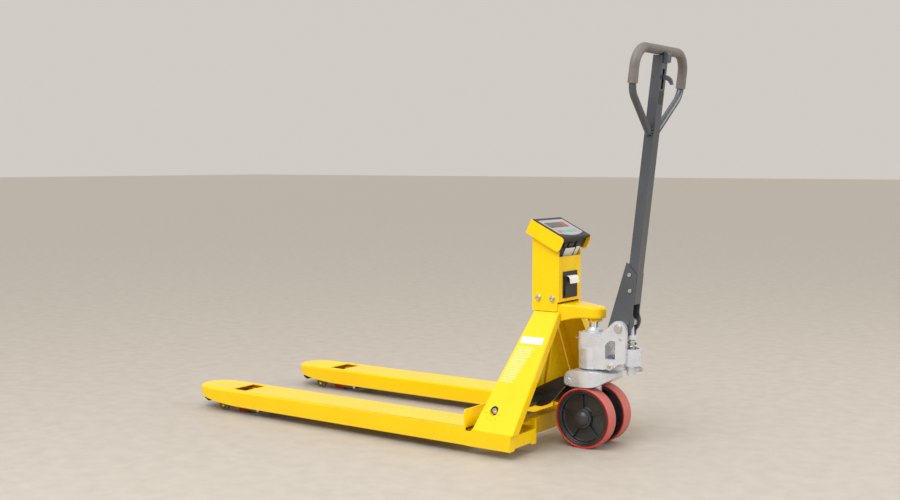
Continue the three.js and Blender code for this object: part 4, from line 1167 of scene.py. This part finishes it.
@dataclass
class Undercarriage:
    """Rocker, push rods, roller brackets and rollers."""

    roller: tuple[float, float] = (-647.0, 37.0)
    roller_y: float = 263.0
    entry: tuple[float, float] = (-822.0, 36.0)
    entry_y: float = 266.5

    def build(self, record: Record) -> None:
        """Builds everything under the forks."""
        reskin(record, "rocker", Paint.BLACK, 2.4, 3)
        for side, sign in SIDES:
            reskin(record, f"{side}_pushrod", Paint.BLACK, 1.0)
            reskin(record, f"{side}_roller_bracket", Paint.YELLOW, 1.2)
            self.load_roller(record, side, sign)
            self.entry_roller(record, side, sign)
            self.rod_bolts(side, sign)

    def load_roller(self, record: Record, side: str, sign: int) -> None:
        """Turns a load roller with its bearing recess."""
        x, z = self.roller
        node = f"{side}_load_roller"
        piece = Workpiece(f"{node}_turned")
        bore, outer = 10.0 + GAP, 37.0
        half = [(bore, 32), (14, 33), (22, 33), (23, 30), (31, 30), (32, 32), (outer, 32)]
        profile = half + [(r, -y) for r, y in reversed(half)]
        piece.turned(profile, (x, sign * self.roller_y, z), Axis.Y, 72)
        piece.soften(1.4, 3)
        piece.finish(Paint.ROLLER, node, record.slots[node], [node], 40.0)

    def entry_roller(self, record: Record, side: str, sign: int) -> None:
        """Turns the small nose roller with its stubs."""
        x, z = self.entry
        node = f"{side}_entry_roller"
        piece = Workpiece(f"{node}_turned")
        half = [(0, 48), (5, 48), (5, 34), (15, 34)]
        profile = half + [(r, -y) for r, y in reversed(half)]
        piece.turned(profile, (x, sign * self.entry_y, z), Axis.Y, 48, False)
        piece.soften(0.8, 2)
        piece.finish(Paint.NYLON, node, record.slots[node], [node], 40.0)

    def rod_bolts(self, side: str, sign: int) -> None:
        """Adds the zinc bolts through the push rod's yoke."""
        piece = Workpiece(f"{side}_yoke_bolts")
        y = sign * self.roller_y
        for reach in (57.0, -57.0):
            step = math.copysign(3.5, reach)
            piece.bar(7.0, (-552, y + reach, 21.9), (-552, y + reach + step, 21.9), 6)
        piece.soften(0.5, 2)
        piece.finish(Paint.ZINC, f"{side}_pushrod", "zinc_steel")


@dataclass
class Studio:
    """Camera, lights and a plain pale floor."""

    camera_at: Point = (2.3467, -3.2569, 0.8909)
    heading: float = math.radians(35.22)
    pitch: float = math.radians(4.27)
    lens: float = 46.9

    def build(self) -> None:
        """Sets the studio up."""
        self.camera()
        self.floor()
        self.lamp("key_softbox", (0.6, -3.4, 3.6), (0.1, 0, 0.4), (3.2, 2.4), 115)
        self.lamp("rim_softbox", (4.2, 1.6, 2.6), (0.4, 0, 0.5), (2.4, 2.4), 60)
        self.skylight()
        self.world()

    def camera(self) -> None:
        """Puts the camera at the viewing angle."""
        data = bpy.data.cameras.new("camera")
        data.lens = self.lens
        data.sensor_width = 36.0
        camera = bpy.data.objects.new("camera", data)
        look = Vector(
            (
                -math.sin(self.heading) * math.cos(self.pitch),
                math.cos(self.heading) * math.cos(self.pitch),
                -math.sin(self.pitch),
            )
        )
        camera.location = self.camera_at
        camera.rotation_euler = look.to_track_quat("-Z", "Y").to_euler()
        bpy.context.scene.collection.objects.link(camera)
        bpy.context.scene.camera = camera

    def floor(self) -> None:
        """Lays the floor."""
        mesh = bmesh.new()
        bmesh.ops.create_grid(mesh, x_segments=1, y_segments=1, size=60.0)
        data = bpy.data.meshes.new("floor")
        mesh.to_mesh(data)
        mesh.free()
        data.materials.append(Paint.FLOOR.material())
        floor = bpy.data.objects.new("floor", data)
        bpy.context.scene.collection.objects.link(floor)

    def lamp(self, name: str, at: Point, target: Point, size: tuple[float, float], watts: float) -> None:
        """Hangs a rectangular softbox.

        Args:
            name: Name of the lamp.
            at: Where it hangs, in metres.
            target: Point that it faces.
            size: Width and height in metres.
            watts: Power.
        """
        data = bpy.data.lights.new(name, "AREA")
        data.shape = "RECTANGLE"
        data.size, data.size_y = size
        data.energy = watts
        lamp = bpy.data.objects.new(name, data)
        lamp.location = at
        lamp.rotation_euler = (Vector(target) - Vector(at)).to_track_quat("-Z", "Y").to_euler()
        bpy.context.scene.collection.objects.link(lamp)

    def skylight(self) -> None:
        """Lights the whole floor evenly from above, with very soft shadows."""
        data = bpy.data.lights.new("skylight", "SUN")
        data.energy = 1.1
        data.angle = math.radians(80)
        lamp = bpy.data.objects.new("skylight", data)
        lamp.rotation_euler = (math.radians(12), math.radians(-8), 0)
        bpy.context.scene.collection.objects.link(lamp)

    def world(self) -> None:
        """Fills the room with soft pale light."""
        world = bpy.data.worlds.new("studio")
        world.use_nodes = True
        tree = world.node_tree
        tree.nodes.clear()
        light = add_node(tree, "ShaderNodeBackground", {"Color": linear("#E4DED8"), "Strength": 0.82})
        add_node(tree, "ShaderNodeOutputWorld", None, {"Surface": light.outputs["Background"]})
        bpy.context.scene.world = world
        bpy.context.scene.view_settings.view_transform = "Standard"


def main() -> None:
    """Builds the truck around its frame."""
    logging.basicConfig(level=logging.INFO, format="%(message)s")
    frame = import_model()
    record = Record(frame)
    Studio().build()
    assemblies = (Forks, AFrame, Terminal, TicketPrinter, Hydraulics, SteeringWheels, Tiller, Undercarriage)
    for assembly in assemblies:
        assembly().build(record)


if __name__ == "__main__":
    main()
